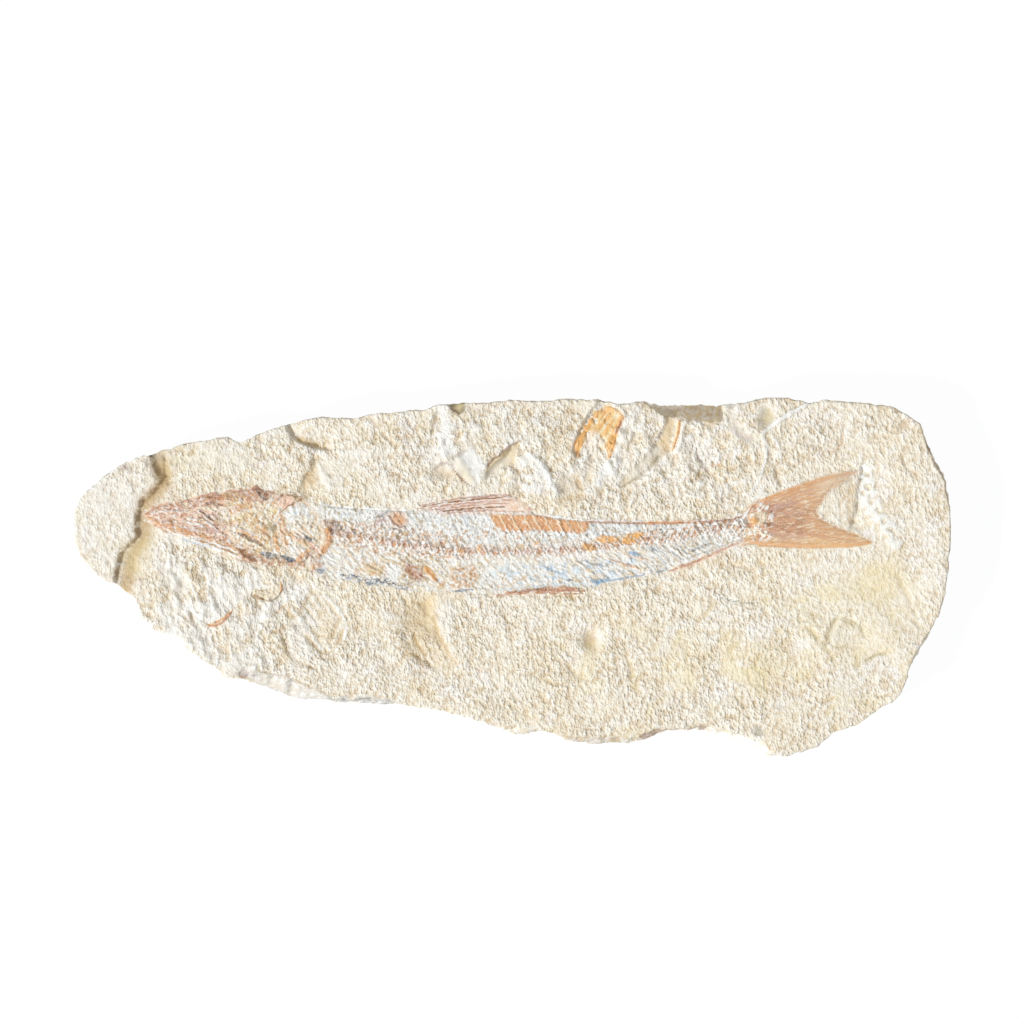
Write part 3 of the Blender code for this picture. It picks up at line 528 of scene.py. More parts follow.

# Tan, sand, olive and hazel marks laid in chips, pits, troughs and at the foot of scarps, where the ground
# sinks, are partly the stone's tan staining and partly painted shade.
STONE_LAYERS = layered(
    # the flake that is left before the snout, and the trough round it: painted shadow along the flake's
    # edge, and painted shade over the trough's tan stain
    (Shelf(FLAKE_SCARP), WHITE, 0.4, 0.8),
    (Valley(2.2, ((-84.6, 31), (-84.4, 25.5), (-84, 22.5), (-88.3, 17.5), (-88.6, 9.5), (-91.5, 5),
     (-93.6, -4))), TAN, 0.85, -0.6, 0.3),
    # painted shadow: hazel flecks along the flake's edge
    (Flecks(1.2, 57, 0.6, Line(1.6, FLAKE_SCARP, 1.2)), HAZEL, 0.7, -0.1),
    (Patch(((-86.5, 30.5), (-83.5, 30.3), (-82.5, 25), (-83.5, 22.5), (-84.5, 24)), 1.5), TAN, 0.5, -0.1),
    (Patch(((-94.5, 7.5), (-88, 9.5), (-86, 5), (-88, 0), (-94, 1)), 3), STRAW, 0.3),
    (Line(0.8, ((-84, 29.5), (-83.5, 25), (-82.6, 21.8))), TAN, 0.6, -0.5),
    (Spot(-93.5, 26.3, (1, 0.8)), BROWN, 0.5, -0.2),
    (Line(0.7, ((-88, 28.5), (-88, 26.5))), BROWN, 0.4, -0.2),
    # chips and hollows over the fish's back
    (Scarp(7, ((-54.7, 37.3), (-54.3, 35.6), (-53.4, 34), (-52, 32.7), (-50, 31.9), (-47.5, 31.1),
     (-45, 30.5))), SAND, 0.5, -1.1),
    (Line(1.6, ((-53.8, 36), (-52.6, 34), (-50.5, 32.8), (-47, 31.8))), TAN, 0.6),
    (Scarp(6, ((-48.3, 28.3), (-48.1, 26.5), (-50, 24.5), (-51.2, 21.8))), SAND, 0.5, -0.9),
    (Spot(-48.6, 24, (2.2, 2.6)), TAN, 0.5, -0.15),
    (Line(1.6, ((-47, 27.5), (-45.5, 24.5), (-43.5, 21.5))), CHALK, 0.5, 0.3),
    (Line(0.8, ((-51.5, 29), (-50.3, 27))), TAN, 0.7, -0.3),
    (Line(1, ((-18.5, 39.8), (-18.7, 37.5), (-19.4, 35))), HAZEL, 0.7, -0.4),
    (Flecks(1.7, 43, 0.24, Patch(((-22, 23), (-22, 41), (34, 41), (58, 36), (62, 17), (12, 17.5),
     (-8, 22.5)), 3), 1.6, 105), TAN, 0.45, -0.3),
    (Flecks(1.9, 45, 0.26, Patch(((-22, 23), (-22, 41), (34, 41), (62, 40), (62, 17), (12, 17.5),
     (-8, 22.5)), 3), 1.5, 120), WHITE, 0.6, 0.28),
    (Patch(((-18.2, 41.5), (-15.8, 41.5), (-15, 38), (-14.4, 33.5), (-13.6, 29.6), (-17, 28.6),
     (-18.2, 33.8), (-17.6, 37.5)), 0.9), WHITE, 0.75, 0.14),
    (Line(0.9, ((-23, 37.2), (-23, 35))), TAN, 0.5, -0.3),
    (Line(0.9, ((-33.3, 30.5), (-32.6, 28.5))), TAN, 0.5, -0.3),
    (Patch(((-15.9, 42.4), (-11.1, 42.4), (-11.5, 40), (-13, 39.1), (-14.7, 40.3)), 0.4), OLIVE, 0.95,
     -0.6, 0.9),
    (Spot(-12.8, 41, (1, 0.7), 60), STRAW, 0.6),
    (Line(0.6, ((-15.7, 41.6), (-14.8, 40.4), (-13.2, 39.1))), BROWN, 0.6),
    (Spot(-16.9, 25.4, (2.2, 1.8), -20), TAN, 0.95, -0.9, 0.3),
    (Line(0.7, ((-18.9, 26.2), (-17.3, 27.4), (-15.4, 27.6), (-14, 26.3))), BROWN, 0.65, -0.15),
    (Patch(((-13.8, 28.6), (-10.8, 31), (-9.2, 30.8), (-6.8, 28), (-7.2, 24.5), (-9, 22.2), (-11.6, 24.8),
     (-12.6, 27)), 0.8), WHITE, 0.85, 0.1, 0.5),
    (Patch(((-14.5, 27.7), (-13.3, 28.7), (-11.9, 27.7), (-10, 24.6), (-8.9, 22.2), (-10.4, 22.6),
     (-12.6, 24.6)), 1.6), CREAM, 0.7, 0.3, 0.95),
    (Line(0.6, ((-15.1, 27.6), (-13.8, 25.4), (-12.4, 23.6), (-9.6, 21.4))), BROWN, 0.9, -0.1),
    # painted shadow in the notch above the chip, over its sunk ground
    (Line(1, ((-14.3, 28.6), (-12.8, 29.7), (-10.8, 30.8))), HAZEL, 0.7, -0.4, 0.4),
    (Patch(((1.6, 32.6), (-1.6, 30.6), (-4.8, 28.2), (-6.4, 26.2), (-6.2, 23.8), (-4.4, 25.4), (-1.8, 27),
     (0.6, 26.8), (0.8, 30.2)), 0.6), SAND, 0.7, -0.55, 0.7),
    (Line(0.7, ((2, 33), (-0.6, 31.6), (-3.2, 29.6), (-5.4, 27.8), (-6.4, 26.2))), BROWN, 0.65, -0.1),
    # the dark olive crescent inside the chip: partly olive pigment, partly painted shade
    (Line(1.1, ((-6.5, 23.6), (-5.8, 25.2), (-4.5, 26.7), (-2.4, 28.5), (-0.6, 31))), OLIVE, 0.9, -0.3,
     0.6),
    (Line(0.8, ((-0.2, 26.4), (1.2, 25.8), (1.4, 24.6), (0.2, 23.8))), TAN, 0.8, -0.3),
    (Flecks(2.4, 39, 0.6, Patch(((1, 30), (4, 30), (8.4, 26.4), (9.4, 22), (7, 19.8), (-1.5, 21.6),
     (1.4, 26.4)), 1)), WHITE, 0.7, 0.15),
    (Line(1.3, ((3.6, 30), (7.6, 26.8), (9.2, 23), (10.6, 19.9))), WHITE, 1, 0.5),
    (Patch(((11, 25.6), (14, 24.4), (17, 23.4), (17.4, 19), (12.4, 17.6), (11.2, 20.4)), 1.8), TAN, 0.5,
     -0.45),
    (Line(2, ((23.4, 28.6), (22, 25.6), (20.6, 22.6), (20, 19.4)), 1), WHITE, 0.85, 0.3),
    (Line(1.6, ((25.4, 29), (24.6, 25.4), (25.4, 22.4)), 1), WHITE, 0.7, 0.25),
    (Line(1.8, ((19, 29.4), (18.2, 26), (18.4, 22)), 1), TAN, 0.45, -0.35),
    # round the scrap of fin and the channel past it
    (Scarp(12, ((20.2, 41.5), (18, 38.6), (17, 36.5), (15.4, 33.6), (14.3, 31), (15, 29.6), (15.4, 28)),
     0.4), None, 0, -0.8),
    # painted shadow along the scrap's left edge, where the ground drops
    (Line(1.2, ((18.8, 40.2), (17.3, 37.6), (16, 34.8), (14.6, 31.6))), HAZEL, 0.6),
    (Patch(((20, 42.5), (22.6, 42.5), (22.2, 39.8), (20.6, 40.2)), 0.6), OLIVE, 0.35, -0.1),
    (Hatch(0.9, 80, 31, Patch(((19.8, 42.5), (22.8, 42.5), (22.2, 39.8), (20.4, 40)))), SLATE, 0.5, -0.1),
    (Line(1.6, ((27.3, 38.6), (26.3, 35), (25.2, 31), (24.4, 27.5))), CHALK, 0.8, 0.35),
    (Line(1.8, ((31, 42), (29.6, 39.5), (28, 37.2))), CHALK, 0.5, 0.2),
    (Scarp(5.5, ((36.9, 38.6), (36.4, 36.2), (35.4, 33.6), (34, 31.5), (32, 29.2), (29, 26.1),
     (26.3, 23.5)), 0.4), SAND, 0.5, -0.8, 0.4),
    (Patch(((37, 38), (39, 38), (38.5, 33.5), (37.5, 29.5), (35.6, 28.6), (34.8, 31.5), (36.3, 34)), 0.8),
     TAN, 0.5),
    # painted shade: olive on the lower side of the curved ledge
    (Patch(((34.6, 31.5), (36.5, 29.5), (33, 26.2), (29, 23.4), (27, 23.6), (31.5, 27.8)), 0.9), OLIVE,
     0.35),
    (Line(0.8, ((35.5, 29.3), (33, 26.2), (30, 24), (26, 21.7))), OLIVE, 0.6, -0.35),
    (Line(0.9, ((35.6, 35), (35.2, 33.6))), UMBER, 0.6, -0.2),
    (Line(1, ((42, 38.2), (41, 36), (40.4, 33), (39.4, 29.8))), CHALK, 0.8, 0.4),
    # the right half over the fish
    (Line(0.8, ((44.2, 29.4), (45.6, 27.6), (46.6, 26), (47.6, 24.4))), BROWN, 0.6, -0.4),
    (Spot(48.2, 27, (0.8, 0.4)), ORANGE, 0.7),
    (Spot(49.7, 27, (0.6, 0.35)), ORANGE, 0.7),
    (Line(1.1, ((12.6, 23.2), (13.5, 20.8))), TAN, 0.6, -0.4),
    (Line(1.2, ((19.8, 22), (21, 19.4))), TAN, 0.6, -0.4),
    (Line(1.2, ((29.5, 34.5), (28.4, 32), (27.2, 29.5))), TAN, 0.4, -0.25),
    (Line(1.1, ((38.2, 21.2), (39.5, 18.6))), TAN, 0.55, -0.4),
    (Line(1, ((53.5, 22.5), (52.5, 20))), TAN, 0.4, -0.3),
    (Spot(61, 38.3, (2.2, 3)), OLIVE, 0.6, -0.9, 0.6),
    (Spot(61.6, 38.8, (1.2, 2)), STRAW, 0.4),
    (Patch(((52, 38), (54.5, 37.5), (58, 33), (57, 32), (52.5, 35)), 1), MAUVE, 0.25, -0.3, 0.5),
    (Line(1.1, ((71.4, 42), (67.4, 39.8), (63.2, 37.2), (60, 34.6))), WHITE, 1, 0.55),
    (Line(0.8, ((60, 34.4), (61.1, 31.8), (60.9, 28.2), (59.6, 24), (57.1, 19.8))), WHITE, 0.9, 0.3),
    (Line(0.8, ((62.4, 34.4), (64.4, 30.8), (64.4, 27.4))), WHITE, 0.85, 0.3),
    (Line(1.2, ((61.6, 31), (62.4, 28.6), (62, 26)), 1), ASH, 0.3, -0.2),
    (Patch(((64.3, 43.2), (66.5, 42.6), (68.5, 41.6), (67, 43.2)), 0.7), YELLOW, 0.85, -0.3, 0.6),
    (Line(0.55, ((79.7, 37.5), (79.6, 34), (79, 31.8), (77.4, 30.4), (75.4, 30.4), (74, 31.2),
     (71.8, 31.8))), ORANGE, 0.55, -0.35),
    (Spot(94.3, 36.5, (1.6, 1.6)), TAN, 0.6, -0.5),
    (Line(1.3, ((63.3, 26.6), (63.7, 24.8), (64.4, 22.6))), TAN, 0.55, -0.5),
    (Line(0.7, ((93.4, 29.2), (94.4, 27), (95.6, 25))), OLIVE, 0.5, -0.3),
    # past the tail
    (Scarp(8, ((84, 26), (83.2, 23), (82.8, 20), (82.6, 17), (81.5, 13))), None, 0, -0.9),
    # painted shade: tan flecks in the hollow left of the rise past the tail
    (Flecks(1.2, 41, 0.6, Patch(((79.5, 24), (83, 25), (83, 12), (79.5, 13), (78, 18)), 2), 3, 80), TAN,
     0.45, -0.2),
    (Flecks(1.5, 47, 0.62, Line(5, ((84.8, 26.5), (85.4, 21), (86.6, 16.5), (87.4, 13.6)), 1)), WHITE,
     0.85, 0.3),
    (Flecks(1.5, 49, 0.62, Line(4.4, ((88.8, 14.6), (91, 11), (92.6, 7)), 1)), WHITE, 0.85, 0.32),
    # painted shadow: a grey line along the upper lobe's edge
    (Line(0.5, ((83.6, 26.2), (81.2, 24.4), (79.2, 22.6))), GREY, 0.5, -0.15),
    (Line(2.4, ((76.6, 20.5), (79, 22.8), (82.5, 25))), ASH, 0.3, -0.15),
    # the lower right
    (Line(1.1, ((78.6, -9.2), (77.3, -11.6), (76.2, -13.8), (76, -16)), 1), OLIVE, 0.45, -0.6),
    (Line(1.6, ((79.4, -9.8), (77.9, -12), (77, -14.2))), CHALK, 0.5, 0.15),
    (Line(0.7, ((79, -9.7), (81.5, -10.5), (83.5, -12), (84.6, -14.2)), 1), OLIVE, 0.55, -0.4),
    (Line(0.9, ((71, -12), (74.5, -15.5), (77.5, -20))), SAND, 0.6, -0.45),
    (Line(0.8, ((85, -20.1), (87.5, -18.7), (90, -18.2))), OLIVE, 0.6, -0.4),
    (Line(0.8, ((92.5, 1.5), (94.5, -3.5), (96.5, -8), (97.6, -11.2))), TAN, 0.4, -0.25),
    (Line(0.55, ((49.5, -5), (53.5, -5.8), (58.8, -6.3))), SLATE, 0.6, -0.25),
    (Line(0.7, ((49, -5.5), (46.8, -8.6), (45.4, -11))), SAND, 0.6, -0.35),
    (Line(0.7, ((60.5, -8.5), (59.6, -11.4))), SAND, 0.6, -0.35),
    (Spot(59.5, -37, (1.6, 1.2)), OLIVE, 0.6, -0.6),
    (Spot(64.2, -31.2, (1.6, 1.3)), ICE, 0.4, -0.2),
    (Line(0.9, ((74.4, -30), (77.6, -29))), SAND, 0.6, -0.3),
    (Spot(54, 3.2, (1.8, 1.2)), YELLOW, 0.45, -0.4),
    (Spot(60, 3.4, (1.3, 0.9)), YELLOW, 0.45, -0.4),
    (Spot(35.5, -3.3, (1.6, 1.4)), TAN, 0.55, -0.6),
    (Spot(18.8, -15, (2.3, 2.6)), TAN, 0.7, -1.3, 0.5),
    (Line(2, ((20.6, -12.8), (21.3, -15), (20.4, -17.4)), 1), WHITE, 0.6, 0.05, 0.3),
    (Line(1, ((12.5, -20), (14, -22.5), (16.5, -24.5))), SAND, 0.7, -0.45),
    (Line(1, ((26.5, -17), (28, -20.5), (29, -24))), SAND, 0.7, -0.45),
    # under the belly
    (Scarp(6, ((-26.8, -13.2), (-25.8, -16), (-24, -18.4), (-20, -21.6)), 0.5), SAND, 0.4, -0.7),
    (Line(0.9, ((-24, -13.6), (-23.2, -16), (-21.8, -17.8))), TAN, 0.6, -0.4),
    # painted shade: sand over the sunk hollow under the belly
    (Patch(((-27, -4.5), (-17.5, -4.5), (-16.5, -10), (-17.5, -15.5), (-22, -14), (-26.5, -10)), 3.5),
     SAND, 0.5, -0.5),
    (Flecks(2, 55, 0.4, Spot(-22.5, -9.5, (5, 5))), TAN, 0.45, -0.35),
    (Line(0.9, ((-19.4, -9.2), (-18, -13.4), (-15.6, -17.6), (-14.2, -20.2))), TAN, 0.7, -0.3),
    (Scarp(7, ((-13.8, -20.4), (-16.2, -16.6), (-18.2, -12.4), (-19.6, -8.6), (-19, -5)), 1.4), SAND, 0.4,
     -0.6),
    # painted highlight: white on the raised wall that faces the light
    (Patch(((-18.6, -7.5), (-15, -4.8), (-13.5, -9), (-14.6, -14), (-14.2, -19), (-16, -15.6),
     (-17.6, -12)), 1.4), WHITE, 0.5, 0.12),
    (Line(0.8, ((-27.8, -13.4), (-25.6, -18), (-21.8, -20), (-19.8, -21.2))), TAN, 0.8, -0.3),
    (Line(0.8, ((-24.2, -13.4), (-22.4, -17), (-20.8, -19.2))), TAN, 0.8, -0.3),
    # the print of a shell, and folds of the bedding round it
    (Spot(-46.5, -11, (5.6, 6.4)), SAND, 0.45, -0.7),
    (Hatch(1.7, 125, 51, Patch(PRINT, 1), 0.45, 0.35), WHITE, 0.85, 0.3),
    (Hatch(2.3, 62, 53, Patch(PRINT, 1), 0.5, 0.35), TAN, 0.6, -0.3),
    (Line(0.9, ((-45.4, -4.4), (-41.4, -8.2), (-39.9, -12), (-40.8, -15.4))), WHITE, 0.9, 0.35),
    (Line(0.7, ((-54, -3), (-53.6, -8), (-50.6, -13.6), (-46, -18.4), (-43, -17.8))), TAN, 0.7, -0.3),
    (Line(1, ((-56, -5.5), (-54, -9), (-52.5, -12))), TAN, 0.5, -0.5),
    (Line(1, ((-55.6, -14.5), (-54.2, -17.6), (-52, -20), (-48, -22))), TAN, 0.6, -0.5),
    (Line(0.8, ((-37.5, -7), (-37.3, -10), (-37.6, -13.2))), TAN, 0.5, -0.4),
    (Line(1.2, ((-53.2, -2.6), (-52.2, -0.4), (-51.6, 2.4))), TAN, 0.6, -0.5),
    (Line(1, ((-75, 4.2), (-73.6, 0.2), (-72.8, -4.4), (-71.4, -8.6))), WHITE, 0.85, 0.4),
    (Line(0.9, ((-70, 3), (-70.6, -2), (-69.4, -6))), WHITE, 0.8, 0.35),
    (Line(0.9, ((-77.6, -1.6), (-75.4, -6), (-74.6, -10))), WHITE, 0.7, 0.3),
    (Flecks(1.5, 63, 0.36, Patch(UNDER_HEAD, 5), 2.8, 112), WHITE, 0.55, 0.3),
    (Flecks(1.3, 65, 0.3, Patch(UNDER_HEAD, 5), 2.2, 100), TAN, 0.45, -0.25),
    (Spot(-80, -3, (1.7, 2.2)), TAN, 0.6, -0.5),
    (Line(3.6, ((-85, 11.8), (-81.5, 9.6), (-78, 8)), 1), CHALK, 0.6, 0.1),
    # painted shadow: brown in the notch under the ledge of the top layer, which is also sunk
    (Patch(((-66.6, -25), (-66.2, -23), (-64.8, -21.8), (-63.4, -22.6), (-64.6, -25.5)), 0.4), BROWN, 0.8,
     -0.8, 0.8),
    (Line(0.5, ((-64.4, -22), (-61, -22.6), (-56, -23.6), (-52.4, -24.6), (-48.9, -26.2), (-45.3, -28))),
     TAN, 0.45, -0.2),
    # broad stains
    (Patch(((60, -4), (92, 4), (97, -16), (72, -24)), 14), STRAW, 0.3),
    (Spot(60, -21, (8, 5)), STRAW, 0.4),
    (Spot(41, -19, (9, 5)), STRAW, 0.3),
    (Spot(-77, 28, (7, 3.5)), STRAW, 0.4),
    (Spot(88, -2, (9, 4)), STRAW, 0.35),
    (Flecks(7, 81, 0.35, Patch(((5, -14), (60, -4), (95, 6), (92, -32), (50, -42), (5, -36)), 8)), STRAW,
     0.35),
    (Flecks(8, 83, 0.45, Patch(((-100, 34), (60, 46), (60, 20), (-30, 18), (-70, 24)), 6)), WHITE, 0.4),
    (Flecks(6, 85, 0.5, Patch(((-88, 6), (-52, 0), (-44, -14), (-60, -28), (-88, -14)), 6)), WHITE, 0.55),
)

# The broken side, seen from above
SIDE_LAYERS = layered(
    # the bevel at the back edge: tan, sand, brown and olive, partly its own colour and partly painted shade
    # where it faces away from the light
    (Patch(((32.5, 42), (34, 39.8), (36.5, 38.4), (43, 37.8), (49, 36.7), (51.4, 37), (50.8, 39.5),
     (48.6, 42)), 1), TAN, 0.3, 0, 0.3),
    (Flecks(1, 97, 0.45, Patch(((38, 42), (38, 38), (50, 36.7), (50.2, 42)), 1.5)), SAND, 0.95),
    (Flecks(0.7, 98, 0.35, Patch(((34, 42), (36, 38), (50, 36.7), (50.2, 42)), 1.5), 3, 4), BROWN, 0.22,
     -0.1),
    (Patch(((32.5, 42), (34, 39.8), (36.5, 38.4), (41, 38), (38, 41)), 2), OLIVE, 0.4),
    (Patch(((50.5, 42), (51.5, 38), (53, 37.5), (54, 42)), 0.8), CHALK, 0.6),
    # painted shadow: the same notch on the broken side
    (Patch(((-66.4, -25.2), (-66.2, -23.6), (-64.6, -22.6), (-63.6, -23.2), (-65, -25.5)), 0.5), BROWN,
     0.65),
    (Line(0.8, ((-64.5, -22.4), (-60, -22.8), (-55, -24.3), (-50, -26))), OLIVE, 0.45),
    (Patch(((-65, -22.2), (-61, -22.4), (-52.6, -24.2), (-48.9, -26), (-45.3, -27.8), (-43.5, -29.1),
     (-37.5, -28.5), (-32.1, -28.8), (-26.6, -30.3), (-27, -31.5), (-45, -31), (-60, -28)), 0.6), ASH,
     0.55, 0, 0.3),
    (Flecks(0.8, 93, 0.35, Patch(((-65, -22), (-50, -25), (-44, -28), (-27, -29), (-27, -31.5),
     (-60, -28)), 0.6)), WHITE, 0.8, 0.1),
    (Flecks(0.9, 95, 0.5, Patch(((-45, -27.6), (-37.5, -28.2), (-32, -28.6), (-26, -30), (-27, -31.5),
     (-45, -31)), 0.5), 2), GREY, 0.8, -0.15),
    (Patch(((10, -38), (30, -38.2), (30, -41), (10, -41)), 0.7), ASH, 0.5),
    (Flecks(1.3, 91, 0.5, Patch(((-2, -35.5), (30, -38), (30, -41), (-2, -39)), 0.7)), TAN, 0.6),
    (Patch(((29.8, -39.5), (31.8, -36.8), (34, -36), (40, -36.2), (46, -34.9), (47.6, -35.4),
     (46.5, -37.2), (38, -37.6), (33, -39.4)), 0.5), BROWN, 0.6),
    (Patch(((48, -37), (55, -38), (63, -42), (60, -43.5), (50, -40)), 0.7), CHALK, 0.8),
    # painted shade: dark lines along the right-hand rim, where the side falls away from the light
    (Line(2, ((98.4, 35.5), (100.2, 30), (103, 24.8), (105, 18)), 1), HAZEL, 0.7),
    (Line(1, ((98.9, 35.5), (101, 30), (103.8, 25), (105.4, 18)), 1), UMBER, 0.5),
    (Line(1.2, ((103.8, -6), (102, -11), (98.5, -16.5), (95.3, -21.5)), 1), GREY, 0.6),
    (Line(1.1, ((73.6, -40.4), (70, -41.6), (66.3, -42.8)), 1), ASH, 0.8),
)

# The slab's outline in four edges. A third value is how far the rim of the face is set back from
# the outline, which the broken side below it draws. Without one it is NARROW.
NARROW = 0.8


def set_back(*points: tuple[float, ...]) -> Run:
    """Points of an edge, each with its setback."""
    return tuple((*point, NARROW)[:3] for point in points)


BELLY_EDGE = set_back(
    (-101, 1.5), (-98, -0.8), (-95.5, -1.3), (-92.5, -4), (-89.9, -5.5), (-89.5, -9), (-86.5, -12.5),
    (-82.5, -13.8), (-80, -14), (-78.5, -17), (-73.5, -20.7), (-70.2, -22.5), (-69.8, -23.8, 0.9),
    (-66, -24.7, 1.2), (-64, -25, 2.6), (-60, -26.4, 3.8), (-54, -28.8, 4.2), (-50, -29.5, 3.7),
    (-46, -29.5, 2), (-43, -30, 1.4), (-36, -30.4, 2), (-30, -30.7, 1.9), (-27, -30.4, 0.7), (-16, -32.2),
    (-5, -35.6), (0, -37.8, 2.2), (3, -38, 1.7), (6.5, -37.5, 1.2), (10, -37.3), (13, -39.3, 1.6),
    (15, -39.9, 2), (24, -40.3, 2.3), (27, -40.2, 2.1), (30, -39.1, 1.2), (32, -39, 2.3), (35, -37.6, 1.8),
    (38, -37, 1.1), (44, -36.7, 1.2), (47, -37, 2), (50, -38.2, 2), (54, -39.8, 2.4), (60, -42.3, 2.6),
    (62, -43, 1.6), (65, -43.15, 0.9), (69, -42), (73.5, -40.6, 1), (77, -37.5), (83, -35.3), (87, -32.5),
    (91, -30), (93, -28.3),
)
TAIL_EDGE = set_back(
    (93, -28.3), (95.3, -23.5, 1), (97.5, -18.5, 1.2), (100.8, -13, 1), (102.3, -10, 1), (103.5, -6, 0.9),
    (104.2, -3), (105.3, 8), (105.4, 16, 0.9), (105, 23, 1.4), (102.5, 27.5, 1.6), (100, 32, 1.2),
    (98.5, 36.5, 1),
)
BACK_EDGE = set_back(
    (-88.8, 29.3), (-87.4, 29), (-84.6, 30.5), (-83, 30.6), (-78.8, 32), (-69, 33.7), (-65.8, 32.3),
    (-62, 34), (-57, 35.8), (-52.5, 37.2), (-46, 38.5), (-38.5, 38), (-35.7, 38.9), (-32.8, 39.3),
    (-21, 40.2), (-18, 41.5), (-5, 42), (-1, 42.6), (6, 42.3), (14, 42.8), (20, 42.6), (26, 41.6),
    (31.5, 42.3), (33.5, 41.6, 1.4), (35, 41.5, 2.6), (38, 41.5, 3.2), (42, 41.7, 3.9), (46, 41.6, 4.6),
    (50, 41.4, 4.6), (51.5, 41.6, 2.6), (54, 41.8, 0.9), (56, 42), (60.5, 43.1), (66, 43.15), (72, 41.8),
    (74.5, 42.7), (89, 41.4), (91, 41), (94.5, 39.2, 0.9), (98.5, 36.5, 1),
)
SNOUT_EDGE = set_back(
    (-101, 1.5), (-104, 5.5), (-105.1, 8), (-105.4, 13), (-105.2, 16.5), (-102.4, 20.6), (-98.4, 24.2),
    (-94.5, 26.8), (-88.8, 29.3),
)


# Meshes


def loop_of(edges: Sequence[Run], cells: tuple[int, int]) -> Array:
    """The closed loop of places round four edges, counter-clockwise.

    Args:
        edges: The belly, tail, back and snout edge.
        cells: Steps along the belly and along the tail.

    Returns:
        One row for each place.
    """
    columns, rows = cells
    belly, tail, back, snout = edges
    return np.concatenate([
        along(belly, columns)[:-1], along(tail, rows)[:-1], along(back, columns)[:0:-1],
        along(snout, rows)[:0:-1],
    ])


def inward(loop: Array, reach: int) -> Array:
    """Unit vectors into a loop at each of its places, averaged over its neighbours."""
    run = np.roll(loop[:, :2], -reach, axis=0) - np.roll(loop[:, :2], reach, axis=0)
    run /= np.hypot(*run.T)[:, None]
    return np.column_stack([-run[:, 1], run[:, 0]])


def filled(loop: Array, cells: tuple[int, int], rounds: int = 50) -> Array:
    """A grid of places that blends the four sides of a loop.

    Args:
        loop: The places round it.
        cells: Steps along the belly and along the tail.
        rounds: How many times each place inside moves to the middle of its neighbours.

    Returns:
        Places by column and row.
    """
    columns, rows = cells
    belly, tail = loop[: columns + 1], loop[columns: columns + rows + 1]
    back = loop[columns + rows: 2 * columns + rows + 1][::-1]
    snout = np.concatenate([loop[2 * columns + rows:], loop[:1]])[::-1]
    u = np.linspace(0.0, 1.0, columns + 1)[:, None, None]
    v = np.linspace(0.0, 1.0, rows + 1)[None, :, None]
    across = (1 - v) * belly[:, None] + v * back[:, None]
    lengthwise = (1 - u) * snout[None] + u * tail[None]
    corners = (1 - u) * (1 - v) * belly[0] + u * (1 - v) * belly[-1]
    corners = corners + (1 - u) * v * back[0] + u * v * back[-1]
    grid = across + lengthwise - corners
    for _ in range(rounds):
        beside = grid[:-2, 1:-1] + grid[2:, 1:-1] + grid[1:-1, :-2] + grid[1:-1, 2:]
        grid[1:-1, 1:-1] = 0.25 * beside
    return grid


def rim_distance(grid: Array) -> Array:
    """How far each place of a grid lies from the grid's sides, along its row and its column."""
    sides = (grid[:, :1], grid[:, -1:], grid[:1], grid[-1:])
    return np.min([np.hypot(*np.moveaxis(grid - side, -1, 0)) for side in sides], axis=0)


def loop_from(grid: Array) -> Array:
    """The values round a grid, in the loop's order."""
    return np.concatenate([grid[:-1, 0], grid[-1, :-1], grid[:0:-1, -1], grid[0, :0:-1]])


def put_in(name: str, data: Any) -> bpy.types.Object:
    """A new object at the origin of the scene."""
    item = bpy.data.objects.new(name, data)
    bpy.context.scene.collection.objects.link(item)
    return item


